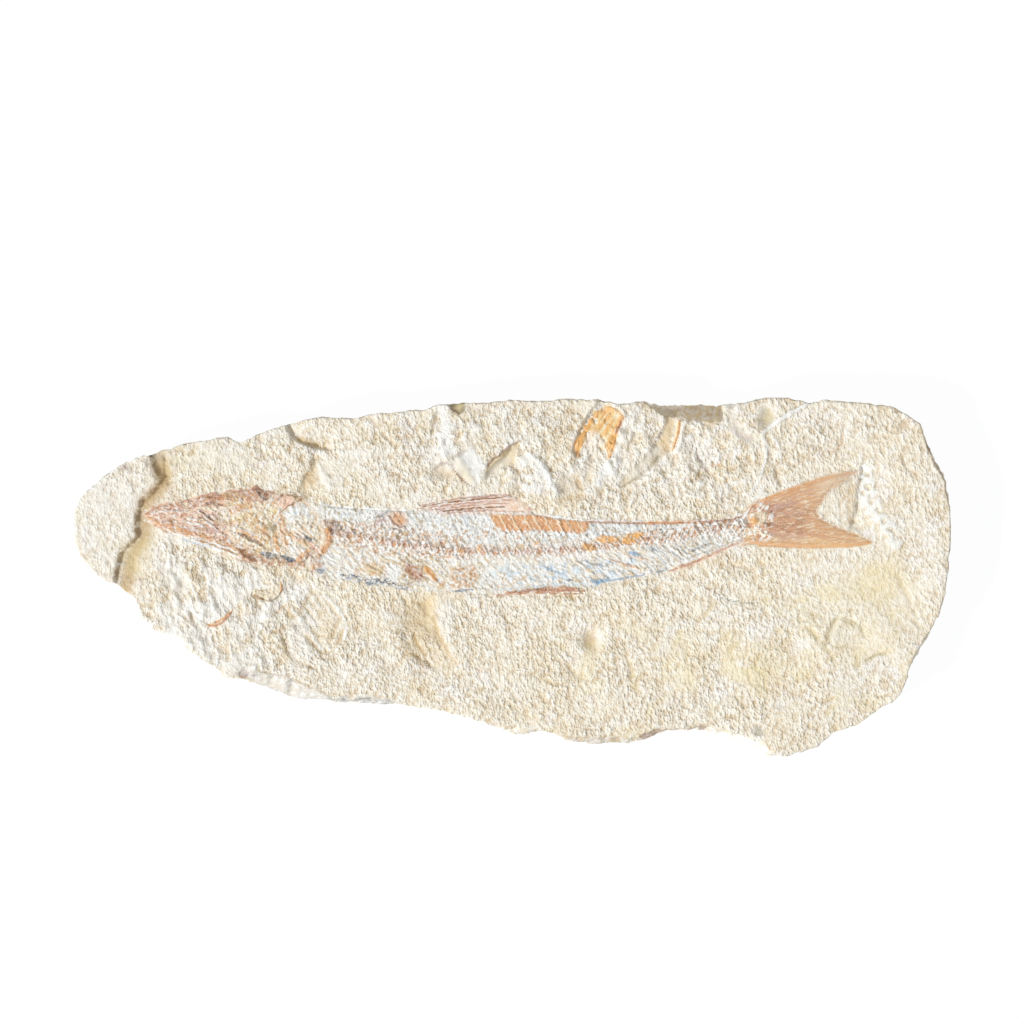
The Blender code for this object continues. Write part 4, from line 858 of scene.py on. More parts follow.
@dataclass
class Sheet:
    """A sheet of faces that grows rings from its rim, and keeps the paint and the painted shade of every
    vertex.
    """

    mesh: bmesh.types.BMesh = field(init=False)
    tint: Any = field(init=False)
    hollow_shade: Any = field(init=False)
    rough: Any = field(init=False)
    number: Any = field(init=False)

    def __post_init__(self) -> None:
        """Starts an empty mesh with its layers."""
        self.mesh = bmesh.new()
        self.tint = self.mesh.verts.layers.float_color.new("tint")
        # painted shade of the hollows, which the stone's material reads
        self.hollow_shade = self.mesh.verts.layers.float.new("hollow_shade")
        self.rough = self.mesh.verts.layers.float.new("rough")
        self.number = self.mesh.verts.layers.int.new("loop")

    def place(self, vert: bmesh.types.BMVert, ground: Ground, at: Any, tints: Array) -> None:
        """Moves a vertex to its place on the ground and paints it."""
        height = ground.height[at] + ground.relief[at] * ground.rough[at]
        vert.co = Vector((ground.x[at], ground.y[at], height)) * MM
        vert[self.tint] = tints[at]
        # painted shade: the share of the stone's warm shade colour that the place's hollow takes, less
        # where the stone is smoothed
        vert[self.hollow_shade] = ground.grain[at] * min(ground.rough[at], 1.0)
        vert[self.rough] = ground.rough[at]

    def grid(self, ground: Ground) -> Edges:
        """Adds a grid of faces.

        Args:
            ground: Its places by column and row.

        Returns:
            The edges of its rim.
        """
        columns, rows = (count - 1 for count in ground.x.shape)
        tints = ground.tint()
        made = bmesh.ops.create_grid(self.mesh, x_segments=columns, y_segments=rows, size=1.0)
        for vert in made["verts"]:
            i = round((vert.co.x + 1.0) / 2.0 * columns)
            j = round((vert.co.y + 1.0) / 2.0 * rows)
            self.place(vert, ground, (i, j), tints)
            if j == 0:
                vert[self.number] = i
            elif i == columns:
                vert[self.number] = columns + j
            elif j == rows:
                vert[self.number] = 2 * columns + rows - i
            else:
                vert[self.number] = 2 * (columns + rows) - j
        return list({edge for vert in made["verts"] for edge in vert.link_edges if edge.is_boundary})

    def ring(self, edges: Edges, ground: Ground) -> Edges:
        """Grows a ring of faces from a rim.

        Args:
            edges: The rim.
            ground: The new rim's places, round the loop.

        Returns:
            The new rim's edges.
        """
        tints = ground.tint()
        grown = bmesh.ops.extrude_edge_only(self.mesh, edges=edges)["geom"]
        for vert in [item for item in grown if isinstance(item, bmesh.types.BMVert)]:
            self.place(vert, ground, vert[self.number], tints)
        return [item for item in grown if isinstance(item, bmesh.types.BMEdge)]

    def done(self, name: str, material: bpy.types.Material) -> bpy.types.Object:
        """Makes the object.

        Args:
            name: Its name.
            material: What it is made of.

        Returns:
            The object, smooth-shaded, at the origin.
        """
        bmesh.ops.recalc_face_normals(self.mesh, faces=self.mesh.faces)
        for face in self.mesh.faces:
            face.smooth = True
        data = bpy.data.meshes.new(name)
        self.mesh.to_mesh(data)
        self.mesh.free()
        data.materials.append(material)
        return put_in(name, data)


# Materials


Number = Union[float, "Signal"]


class Signal:
    """A shader socket that takes part in Python expressions."""

    def __init__(self, board: "Board", socket: bpy.types.NodeSocket) -> None:
        """Keeps the socket and the board it is on."""
        self.board = board
        self.socket = socket

    def maths(self, operation: str, first: Number, second: Number) -> "Signal":
        """Adds a Math node."""
        return self.board.node("ShaderNodeMath", {"operation": operation}, {0: first, 1: second})

    def __add__(self, other: Number) -> "Signal":
        """Adds."""
        return self.maths("ADD", self, other)

    __radd__ = __add__

    def __mul__(self, other: Number) -> "Signal":
        """Multiplies."""
        return self.maths("MULTIPLY", self, other)

    __rmul__ = __mul__

    def __sub__(self, other: Number) -> "Signal":
        """Takes away."""
        return self.maths("SUBTRACT", self, other)

    def __rsub__(self, other: Number) -> "Signal":
        """Is taken away."""
        return self.maths("SUBTRACT", other, self)

    def __abs__(self) -> "Signal":
        """Drops the sign."""
        return self.maths("ABSOLUTE", self, 0.0)


class Board:
    """The nodes of one material."""

    def __init__(self, name: str) -> None:
        """Starts a material with its shader."""
        self.material = bpy.data.materials.new(name)
        self.material.use_nodes = True
        self.tree = self.material.node_tree
        self.shader = self.tree.nodes["Principled BSDF"]

    def feed(self, socket: bpy.types.NodeSocket, value: Any) -> None:
        """Links or sets one socket."""
        if isinstance(value, Signal):
            self.tree.links.new(value.socket, socket)
        else:
            socket.default_value = value

    def node(
        self, kind: str, settings: dict[str, Any], values: dict[Any, Any], output: Any = 0
    ) -> Signal:
        """Adds a node.

        Args:
            kind: The node's type.
            settings: What is set on the node itself.
            values: Values or links for its sockets.
            output: Which of its outputs is wanted.

        Returns:
            That output.
        """
        made = self.tree.nodes.new(kind)
        for name, value in settings.items():
            setattr(made, name, value)
        for key, value in values.items():
            self.feed(made.inputs[key], value)
        return Signal(self, made.outputs[output])

    def place(self) -> Signal:
        """The place on the object, in metres."""
        return self.node("ShaderNodeTexCoord", {}, {}, "Object")

    def noise(self, place: Signal, size: float, detail: float = 2.0, rough: float = 0.5) -> Signal:
        """Noise from 0 to 1 with lumps of a size in millimetres."""
        values = {"Vector": place, "Scale": 1.0 / (size * MM), "Detail": detail, "Roughness": rough}
        return self.node("ShaderNodeTexNoise", {}, values)

    def drawn_out(self, place: Signal, lean: float, stretch: float, tall: float = 1.0) -> Signal:
        """The place seen so that what is laid on it is drawn out along a direction."""
        turn = {"Rotation": (0.0, 0.0, math.radians(-lean))}
        turned = self.node("ShaderNodeMapping", {}, {"Vector": place, **turn})
        values = {"Vector": turned, "Scale": (1.0 / stretch, 1.0, tall)}
        return self.node("ShaderNodeMapping", {}, values)

    def read(self, layer: str, output: str = "Fac") -> Signal:
        """What the vertices keep under a name."""
        return self.node("ShaderNodeAttribute", {"attribute_name": layer}, {}, output)

    def step(self, value: Signal, low: float, high: float) -> Signal:
        """A smooth step from 0 at low to 1 at high."""
        settings = {"interpolation_type": "SMOOTHSTEP"}
        return self.node(
            "ShaderNodeMapRange", settings, {"Value": value, "From Min": low, "From Max": high}
        )

    def mix(self, share: Number, first: Any, second: Any, blend: str = "MIX") -> Signal:
        """Blends two colours, given as signals or as red, green and blue shares on screen."""
        ends = {
            key: value if isinstance(value, Signal) else (*(c**2.2 for c in value), 1.0)
            for key, value in ((6, first), (7, second))
        }
        settings = {"data_type": "RGBA", "blend_type": blend}
        return self.node("ShaderNodeMix", settings, {0: share, **ends}, 2)


@dataclass(frozen=True)
class StoneLook:
    """Pale limestone: a cream ground with painted warm shade in its hollows, painted grey-white highlights
    on its grain's tops, and a sandy grain.
    """

    light: tuple[float, float, float] = (0.95, 0.937, 0.90)
    warm: tuple[float, float, float] = (0.94, 0.91, 0.84)
    pale: tuple[float, float, float] = (0.955, 0.95, 0.94)
    # painted shade: the warm colour that the hollows and the grain's low places take
    deep: tuple[float, float, float] = (0.80, 0.70, 0.55)
    # painted highlight: the near-white that the grain's tops take
    grain_top_highlight: tuple[float, float, float] = (0.98, 0.98, 0.97)
    roughness: float = 0.92
    grain_depth: float = 0.84
    lean: float = 95.0
    stretch: float = 1.35

    def colour(self, board: Board, place: Signal) -> Signal:
        """The stone's colour at each place, with painted shade in its hollows and painted highlights on its
        grain's tops.

        Args:
            board: The material's nodes.
            place: The place on the object.

        Returns:
            A colour.
        """
        ground = board.mix(board.step(board.noise(place, 14.0, 3.0), 0.35, 0.65), self.light, self.warm)
        ground = board.mix(board.step(board.noise(place, 5.0), 0.50, 0.72), ground, self.pale)
        # painted shade: how far each place lies in a hollow of the mesh's relief
        hollow_shade = board.read("hollow_shade")
        grain = self.grain(board, place)
        # painted highlight: the grain's tops are lightened towards near-white
        ground = board.mix(board.step(grain, 0.66, 0.86) * 0.8, ground, self.grain_top_highlight)
        # painted shade: the grain's low places and the hollows darken towards the warm shade colour
        grain_low_shade = board.step(grain, 0.67, 0.47) * self.rough(board)
        return board.mix(hollow_shade * 0.4 + grain_low_shade * 0.42, ground, self.deep)

    def rough(self, board: Board) -> Signal:
        """How rough the stone is at each place."""
        return board.read("rough")

    def grain(self, board: Board, place: Signal) -> Signal:
        """Sandy lumps finer than the mesh, drawn out along the stone's lean."""
        drawn = board.drawn_out(place, self.lean, self.stretch)
        creased = abs(board.noise(place, 1.3, 1.0) - 0.5)
        coarse = board.noise(drawn, 0.95, 1.0)
        return coarse * 0.85 + board.noise(drawn, 0.45, 1.0) * 0.35 + creased * 0.6


@dataclass(frozen=True)
class Finish:
    """What one piece is made of: stone, with pigment where it is painted."""

    name: str
    stone: StoneLook
    bone_roughness: float = 0.6
    sheen: float = 0.35
    mottle: float = 0.25
    chips: float = 0.0
    chip_size: float = 0.62
    chip_lean: float = -52.0
    chip_stretch: float = 1.5
    bare: float = 0.7

    def flakes(self, board: Board, place: Signal) -> Signal:
        """Angular flakes of bone, each with a height of its own from 0 to 1."""
        drawn = board.drawn_out(place, self.chip_lean, self.chip_stretch, 0.3)
        values = {"Vector": drawn, "Scale": 1.0 / (self.chip_size * MM)}
        return board.node("ShaderNodeTexVoronoi", {}, values, "Color") * 1.0

    def material(self) -> bpy.types.Material:
        """The finish as a material."""
        board = Board(self.name)
        place = board.place()
        stone = self.stone.colour(board, place)
        paint = board.read("tint", "Color")
        cover = Signal(board, paint.socket.node.outputs["Alpha"])
        grit = self.stone.rough(board)
        height = (self.stone.grain(board, place) - 0.7) * grit * (1.0 - cover * self.bare)
        fine = board.noise(place, 0.5, 2.0)
        uneven = board.step(cover + (fine - 0.5) * (self.mottle * cover * (1.0 - cover) * 4.0), 0.0, 1.0)
        paint = board.mix(board.step(fine, 0.5, 0.75) * self.mottle, paint, Pigment.CREAM.value)
        if self.chips:
            flakes = self.flakes(board, place)
            bony = cover * grit
            # raised flakes are painted whiter, partly the bone's own white flakes and partly painted
            # highlight
            paint = board.mix(board.step(flakes, 0.58, 0.75) * bony * 0.35, paint, Pigment.WHITE.value)
            # painted shade: the low flakes between them are painted tan
            paint = board.mix(board.step(flakes, 0.34, 0.18) * bony * 0.5, paint, Pigment.TAN.value)
            height = height + flakes * bony * self.chips
        board.feed(board.shader.inputs["Base Color"], board.mix(uneven, stone, paint))
        rough = self.stone.roughness - cover * (self.stone.roughness - self.bone_roughness)
        board.feed(board.shader.inputs["Roughness"], rough)
        board.shader.inputs["Specular IOR Level"].default_value = self.sheen
        bump = {"Strength": 1.0, "Distance": self.stone.grain_depth * MM, "Height": height}
        board.feed(board.shader.inputs["Normal"], board.node("ShaderNodeBump", {}, bump))
        return board.material


# Pieces


# How much rougher or smoother than elsewhere the stone is
ROUGH_AREAS = (
    (Spot(22, 30, (46, 11)), 0.8), (Spot(-62, -8, (26, 14), -25), 0.8), (Spot(-70, 27, (20, 6), 12), 0.15),
    (Spot(-97, 12, (10, 16)), -0.3), (Spot(88, 4, (20, 34)), -0.9), (Spot(-20, -8, (12, 8)), 0.4),
)


@dataclass
class Bed:
    """The rough bedding plane that the fish lies on."""

    height: float = BED_HEIGHT
    swell: float = 0.35
    calm_reach: float = 17.0
    lumps: float = 0.12
    grains: float = 0.10
    flakes: float = 0.30
    lean: float = 105.0
    layers: Sequence[Layer] = STONE_LAYERS

    def terraces(self, x: Array, y: Array, size: float, seed: int) -> Array:
        """Flat steps with sharp edges, as where thin flakes have come off."""
        level = 3.0 * Grain(size, seed, 1.5, self.lean).at(x, y)
        whole = np.floor(level)
        return (whole + eased((level - whole - 0.5) / 0.3 + 0.5)) / 3.0

    def at(self, x: Array, y: Array) -> Ground:
        """The ground at some places.

        Args:
            x: Places along X.
            y: Places along Y.

        Returns:
            The ground with the stone's layers laid on it.
        """
        off_fish, _, _ = nearest(FISH_AXIS, x, y)
        calm = np.exp(-((off_fish / self.calm_reach) ** 4))
        slow = self.swell * Grain(9.0, 5).at(x, y) * (1.0 - 0.8 * calm)
        rougher = sum(gain * area.cover(x, y) for area, gain in ROUGH_AREAS)
        rough = 1.0 + 0.35 * rougher + 0.35 * Grain(7.0, 10).at(x, y)
        lumps = self.lumps * Grain(2.6, 6, 1.4, self.lean).at(x, y)
        fine = Grain(1.2, 7, 1.3, self.lean).at(x, y) + 0.6 * Grain(0.9, 8, 1.2, 40.0).at(x, y)
        fine = np.where(fine > 0.0, 0.8 * fine, 1.3 * fine)
        flakes = self.terraces(x, y, 4.5, 11) + 0.6 * self.terraces(x, y, 2.4, 12)
        flakes = self.flakes * flakes * np.clip(0.35 + rougher, 0.1, 1.2)
        relief = lumps * (1.0 + np.maximum(rougher, -0.4)) + self.grains * fine * rough + flakes
        # painted shade: the low places of the fine grain and of the lumps take this share of the stone's
        # warm shade colour
        hollow_shade = np.clip(-0.8 * fine - 0.5 * lumps / self.lumps, 0.0, 1.0)
        ground = Ground(x, y, self.height + slow, hollow_shade, relief, rough)
        ground.lay(self.layers)
        return ground


@dataclass
class BonePlate:
    """A thin plate of bone, fin or shell that comes up through the stone.

    It lies between four edges, and the tail and the snout hold only the points between the others'
    ends. Its rim is sunk under the stone's face, so the stone covers it unevenly, and its layers give
    it its colour and its relief.
    """

    name: str
    slot: str
    belly: Run
    back: Run
    cells: tuple[int, int]
    crown: float
    layers: Sequence[Layer]
    outline: Run = ()
    tail: Run = ()
    snout: Run = ()
    sunk: float = 0.16
    slope: float = 0.8
    depth: float = 0.6
    grained: float = 0.5
    roughness: float = 0.6
    mottle: float = 0.25
    sheen: float = 0.35
    fade: float = 0.7
    ragged: float = 0.6
    neat_from: float = 54.0
    chips: float = 0.0

    def edges(self) -> list[list[tuple[float, ...]]]:
        """The belly, tail, back and snout edge, with their corners cut."""
        tail = (self.belly[-1], *self.tail, self.back[-1])
        snout = (self.belly[0], *self.snout, self.back[0])
        return [softened(edge) for edge in (self.belly, tail, self.back, snout)]

    def shown(self, ground: Ground, deep: Array) -> Array:
        """How much of its layers each place shows, less and less across the outline.

        The outline is ragged, but neat past a place along X, where the tail is.
        """
        x, y = ground.x, ground.y
        fray = Grain(1.7, 41).at(x, y) + 0.5 * Grain(0.6, 42).at(x, y)
        neat = 0.8 * eased((x - self.neat_from) / 5.0)
        return eased((deep + self.ragged * (1.0 - neat) * fray) / self.fade + 0.2)

    def build(self, bed: Bed, stone: StoneLook) -> bpy.types.Object:
        """Makes the plate.

        Args:
            bed: The ground it lies on.
            stone: The look of the stone that covers it in part.

        Returns:
            The finished piece.
        """
        loop = loop_of(self.edges(), self.cells)
        grid = filled(loop, self.cells)
        x, y = grid[..., 0], grid[..., 1]
        ground = bed.at(x, y)
        deep = depth_inside(self.outline, x, y)
        inside = eased(deep / self.slope)
        ground.relief *= 1.0 - (1.0 - self.grained) * inside
        ground.height = ground.height - self.sunk + (self.crown + self.sunk) * inside
        ground.lay(self.layers, self.shown(ground, deep))
        sheet = Sheet()
        edges = sheet.grid(ground)
        floor = Ground(loop[:, 0], loop[:, 1], np.full(len(loop), bed.height - self.depth),
                       np.zeros(len(loop)))
        edges = sheet.ring(edges, floor)
        bmesh.ops.contextual_create(sheet.mesh, geom=edges)
        finish = Finish(self.name, stone, self.roughness, self.sheen, self.mottle, self.chips)
        piece = sheet.done(self.name + "_in_stone", finish.material())
        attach(piece, "root")
        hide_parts(self.name)
        log.info("%s: %d faces", piece.name, len(piece.data.polygons))
        return piece


# The back's grid has one cell for this many of the face's
BACK_SHARE = 3


@dataclass
class Slab:
    """The limestone slab: its rough face, the broken side round it and its back."""

    belly: Run = BELLY_EDGE
    tail: Run = TAIL_EDGE
    back: Run = BACK_EDGE
    snout: Run = SNOUT_EDGE
    cells: tuple[int, int] = (414, 168)
    reach: int = 20
    steps: tuple[float, ...] = (
        0.12, 0.3, 0.55, 0.8, 1.0, 1.25, 1.5, 1.75, 2.0, 2.35, 2.7, 3.05, 3.4, 3.7, 4.0,
    )
    ragged: float = 0.3
    crumble: float = 0.32
    pocket: float = 0.6
    wear: float = 0.12
    ledges: tuple[float, float] = (1.2, 3.4)
    undercut: float = 1.1
    foot_height: float = 2.6
    foot_inset: float = 1.5
    sway: float = 0.35
    plates: Sequence[BonePlate] = ()

    def face(self, bed: Bed, grid: Array) -> Ground:
        """The ground of the fossil face, lower where a plate comes up through it.

        Args:
            bed: The bedding plane.
            grid: The face's places.

        Returns:
            The ground.
        """
        x, y = grid[..., 0], grid[..., 1]
        ground = bed.at(x, y)
        for plate in {tuple(plate.outline): plate for plate in self.plates}.values():
            low, high = np.min(plate.outline, axis=0) - 2.0, np.max(plate.outline, axis=0) + 2.0
            near = (x > low[0]) & (x < high[0]) & (y > low[1]) & (y < high[1])
            part = ground.part(near)
            deep = depth_inside(plate.outline, part.x, part.y)
            part.lay(plate.layers, plate.shown(part, deep))
            part.height = part.height - self.pocket * eased((deep - 0.4) / 0.8)
            ground.take(near, part)
        rim = rim_distance(grid)
        worn = 0.8 + 0.8 * Grain(2.4, 21).at(x, y)
        ground.height -= self.wear * (1.0 - eased(rim / np.maximum(worn, 0.3)))
        ground.lay(SIDE_LAYERS, 0.6 * (1.0 - eased(rim / 1.2)))
        return ground

    def side(self, outline: Array, into: Array, rim: Ground, step: float) -> Ground:
        """One ring of the broken side.

        Args:
            outline: The slab's outline.
            into: The directions into it.
            rim: The ground along the face's rim.
            step: Which ring: 0 is the rim, 2 the outline, and 4 the back's edge.

        Returns:
            The ring's places.
        """
        setback = outline[:, 2]
        shift = Grain(3.6, 22)
        travelled = np.cumsum(np.hypot(*(outline[:, :2] - np.roll(outline[:, :2], 1, axis=0)).T))
        lower = [self.undercut + shift.at(travelled, np.full(len(outline), 9.0 * k)) for k in (1, 2)]
        insets = [setback, 0.7 * setback, np.zeros(len(outline)), lower[0], lower[1] + self.foot_inset]
        high, low = self.ledges
        heights = [rim.height, rim.height - high - 0.5 * setback, rim.height - low - 0.8 * setback,
                   np.full(len(outline), self.foot_height), np.zeros(len(outline))]
        first = min(int(step), 3)
        share = step - first
        inset = (1.0 - share) * insets[first] + share * insets[first + 1]
        height = (1.0 - share) * heights[first] + share * heights[first + 1]
        fade = min(1.0, 4.0 * step) * min(1.0, 3.0 * (4.0 - step))
        beds = Grain(0.9, 23, 9.0).at(travelled, height) + 0.7 * Grain(0.9, 24).at(travelled, height)
        beds = beds + 0.8 * Grain(2.6, 25, 1.6).at(travelled, height)
        inset = np.maximum(inset + self.crumble * fade * (0.6 + beds), 0.0)
        height = height + 0.6 * self.crumble * fade * Grain(1.1, 26).at(travelled, 3.0 * height)
        places = outline[:, :2] + into * inset[:, None]
        # the side's layers, stains and painted shade, are laid with a sway along X, so that they don't run
        # straight down
        sway = self.sway * min(step, 2.4) ** 2 * Grain(1.8, 33, 2.5).at(travelled, height)
        # painted shade: where the beds are set further in, they take more of the stone's warm shade colour
        ground = Ground(places[:, 0] + sway, places[:, 1], height, np.clip(0.35 * beds, 0.0, 1.0))
        marked = 1.0 + 1.35 * eased((setback - 0.6) / 1.4)
        lost = eased((step - marked - 0.45 * Grain(3.0, 34).at(travelled, 0.5 * height)) / 0.7)
        ground.lay(SIDE_LAYERS, 1.0 - lost)
        ground.x = places[:, 0]
        return ground

    def build(self, bed: Bed, stone: StoneLook) -> bpy.types.Object:
        """Makes the slab.

        Args:
            bed: The bedding plane of its face.
            stone: What it is made of.

        Returns:
            The finished piece.
        """
        outline = loop_of((self.belly, self.tail, self.back, self.snout), self.cells)
        into = inward(outline, self.reach)
        x, y = outline[:, 0], outline[:, 1]
        nibbled = 0.6 * Grain(1.6, 27).at(x, y) + 0.5 * Grain(4.5, 28).at(x, y) - 0.8
        outline[:, :2] += into * (self.ragged * nibbled)[:, None]
        setback = np.where(outline[:, 2] < 1.0, 0.15, outline[:, 2] - 0.4)
        outline[:, 2] = setback * (1.0 + 0.35 * Grain(2.2, 29).at(x, y))
        grid = filled(outline[:, :2] + into * outline[:, 2:], self.cells)
        face = self.face(bed, grid)
        sheet = Sheet()
        edges = sheet.grid(face)
        rim_heights = loop_from(face.height + face.relief * face.rough)
        rim_places = loop_from(grid)
        rim = Ground(rim_places[:, 0], rim_places[:, 1], rim_heights, np.zeros(len(rim_heights)))
        ring = rim
        for step in self.steps:
            ring = self.side(outline, into, rim, step)
            edges = sheet.ring(edges, ring)
        self.close(sheet, edges, ring, into)
        self.keep_in(sheet)
        piece = sheet.done("limestone_slab_rough", Finish("limestone", stone, 0.9, 0.2).material())
        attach(piece, "root")
        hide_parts("limestone_slab")
        log.info("%s: %d faces", piece.name, len(piece.data.polygons))
        return piece

    def close(self, sheet: Sheet, edges: Edges, ring: Ground, into: Array) -> None:
        """Closes the back with a rough sheet.

        Args:
            sheet: The slab so far.
            edges: The lowest ring's edges.
            ring: Its places.
            into: The directions into the slab.
        """
        places = (np.column_stack([ring.x, ring.y]) + into * 0.8)[::BACK_SHARE]
        grid = filled(places, (self.cells[0] // BACK_SHARE, self.cells[1] // BACK_SHARE))
        x, y = grid[..., 0], grid[..., 1]
        dents = 0.35 + 0.2 * Grain(5.0, 31).at(x, y) + 0.22 * Grain(1.6, 32).at(x, y)
        height = np.clip(dents, 0.0, 1.0) * eased(rim_distance(grid) / 3.0)
        # painted shade: the dents that reach further up into the back take more of the stone's warm shade
        # colour
        inner = sheet.grid(Ground(x, y, height, np.clip(dents - 0.3, 0.0, 1.0)))
        bmesh.ops.bridge_loops(sheet.mesh, edges=edges + inner)

    def keep_in(self, sheet: Sheet) -> None:
        """Keeps every vertex inside the CAD slab's box."""
        low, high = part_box("limestone_slab")
        for vert in sheet.mesh.verts:
            vert.co = Vector([min(max(value, a), b) for value, a, b in zip(vert.co, low, high)])


# The fish

BACKBONE = (
    (-44.5, 11.4), (-42, 10.6), (-38, 10.2), (-33, 9.4), (-27.2, 8.2), (-20, 7.2), (-15.2, 6.6), (-8, 6.3),
    (-3.1, 6.2), (4, 6.4), (8.9, 6.6), (16, 6.9), (21, 7.4), (30.6, 8.9), (36, 9.6), (40.3, 10),
    (45, 10.9), (49.9, 11.7), (56, 12.8),
)
FISH_OUTLINE = softened(((-89.4, 15), (-89, 14.2), (-86, 12), (-81.7, 9.9), (-77.5, 8), (-72, 6.2),
    (-67.6, 4.3), (-62.5, 2.9), (-58, 2.2), (-52, 1.7), (-48.2, 0.9), (-44, 0), (-41, -0.9), (-36, -1.8),
    (-32, -2), (-27.2, -3.2), (-17.6, -3.8), (-10, -3.8), (-5.2, -5.2), (0, -5.1), (8, -4.9), (18.4, -5),
    (19.2, -3.4), (20.5, -2.6), (27, -1.5), (31, -0.4), (35.5, 0.4), (42, 1.8), (48, 4), (54.6, 7.4),
    (57, 7.9), (60, 7.2), (70, 6.7), (82, 7), (87.7, 8.1), (84.2, 10.1), (78, 12.3), (72.8, 15),
    (75, 18.6), (76.6, 21), (78.8, 21.9), (81, 23.8), (84.2, 26), (76, 24.9), (68, 22.2), (60, 19.1),
    (56.5, 17.1), (54.6, 14.8), (45.1, 13.9), (33, 13.6), (21, 13.8), (11.3, 14.7), (5.5, 15.5),
    (5.3, 16.8), (2.4, 19.3), (-2.8, 20.8), (-11.3, 20), (-16, 19.2), (-23.9, 17.6), (-24.4, 16.4),
    (-32.1, 16.7), (-41.7, 17.4), (-46.2, 18), (-51, 19.6), (-57, 20.7), (-61.8, 22.3), (-67.6, 21),
    (-73.2, 20.3), (-78.9, 18.9), (-84, 18.1), (-88.9, 16.1), (-89.4, 15)), 1)[:-1]
FRONT_HEAD = Patch(((-90, 13), (-90, 18), (-76, 20.5), (-61, 22.5), (-64, 18.5), (-68, 16.5), (-67, 13),
    (-64, 10), (-60, 6.5), (-62, 3), (-80, 8.5)), 3)
REAR_HEAD = Patch(((-68.5, 20), (-57, 20.5), (-50, 18.6), (-47.2, 14.5), (-45.4, 11.5), (-45.2, 8),
    (-47, 4.5), (-49.5, 1.5), (-60, 4.5), (-67, 9), (-69, 15)), 3)

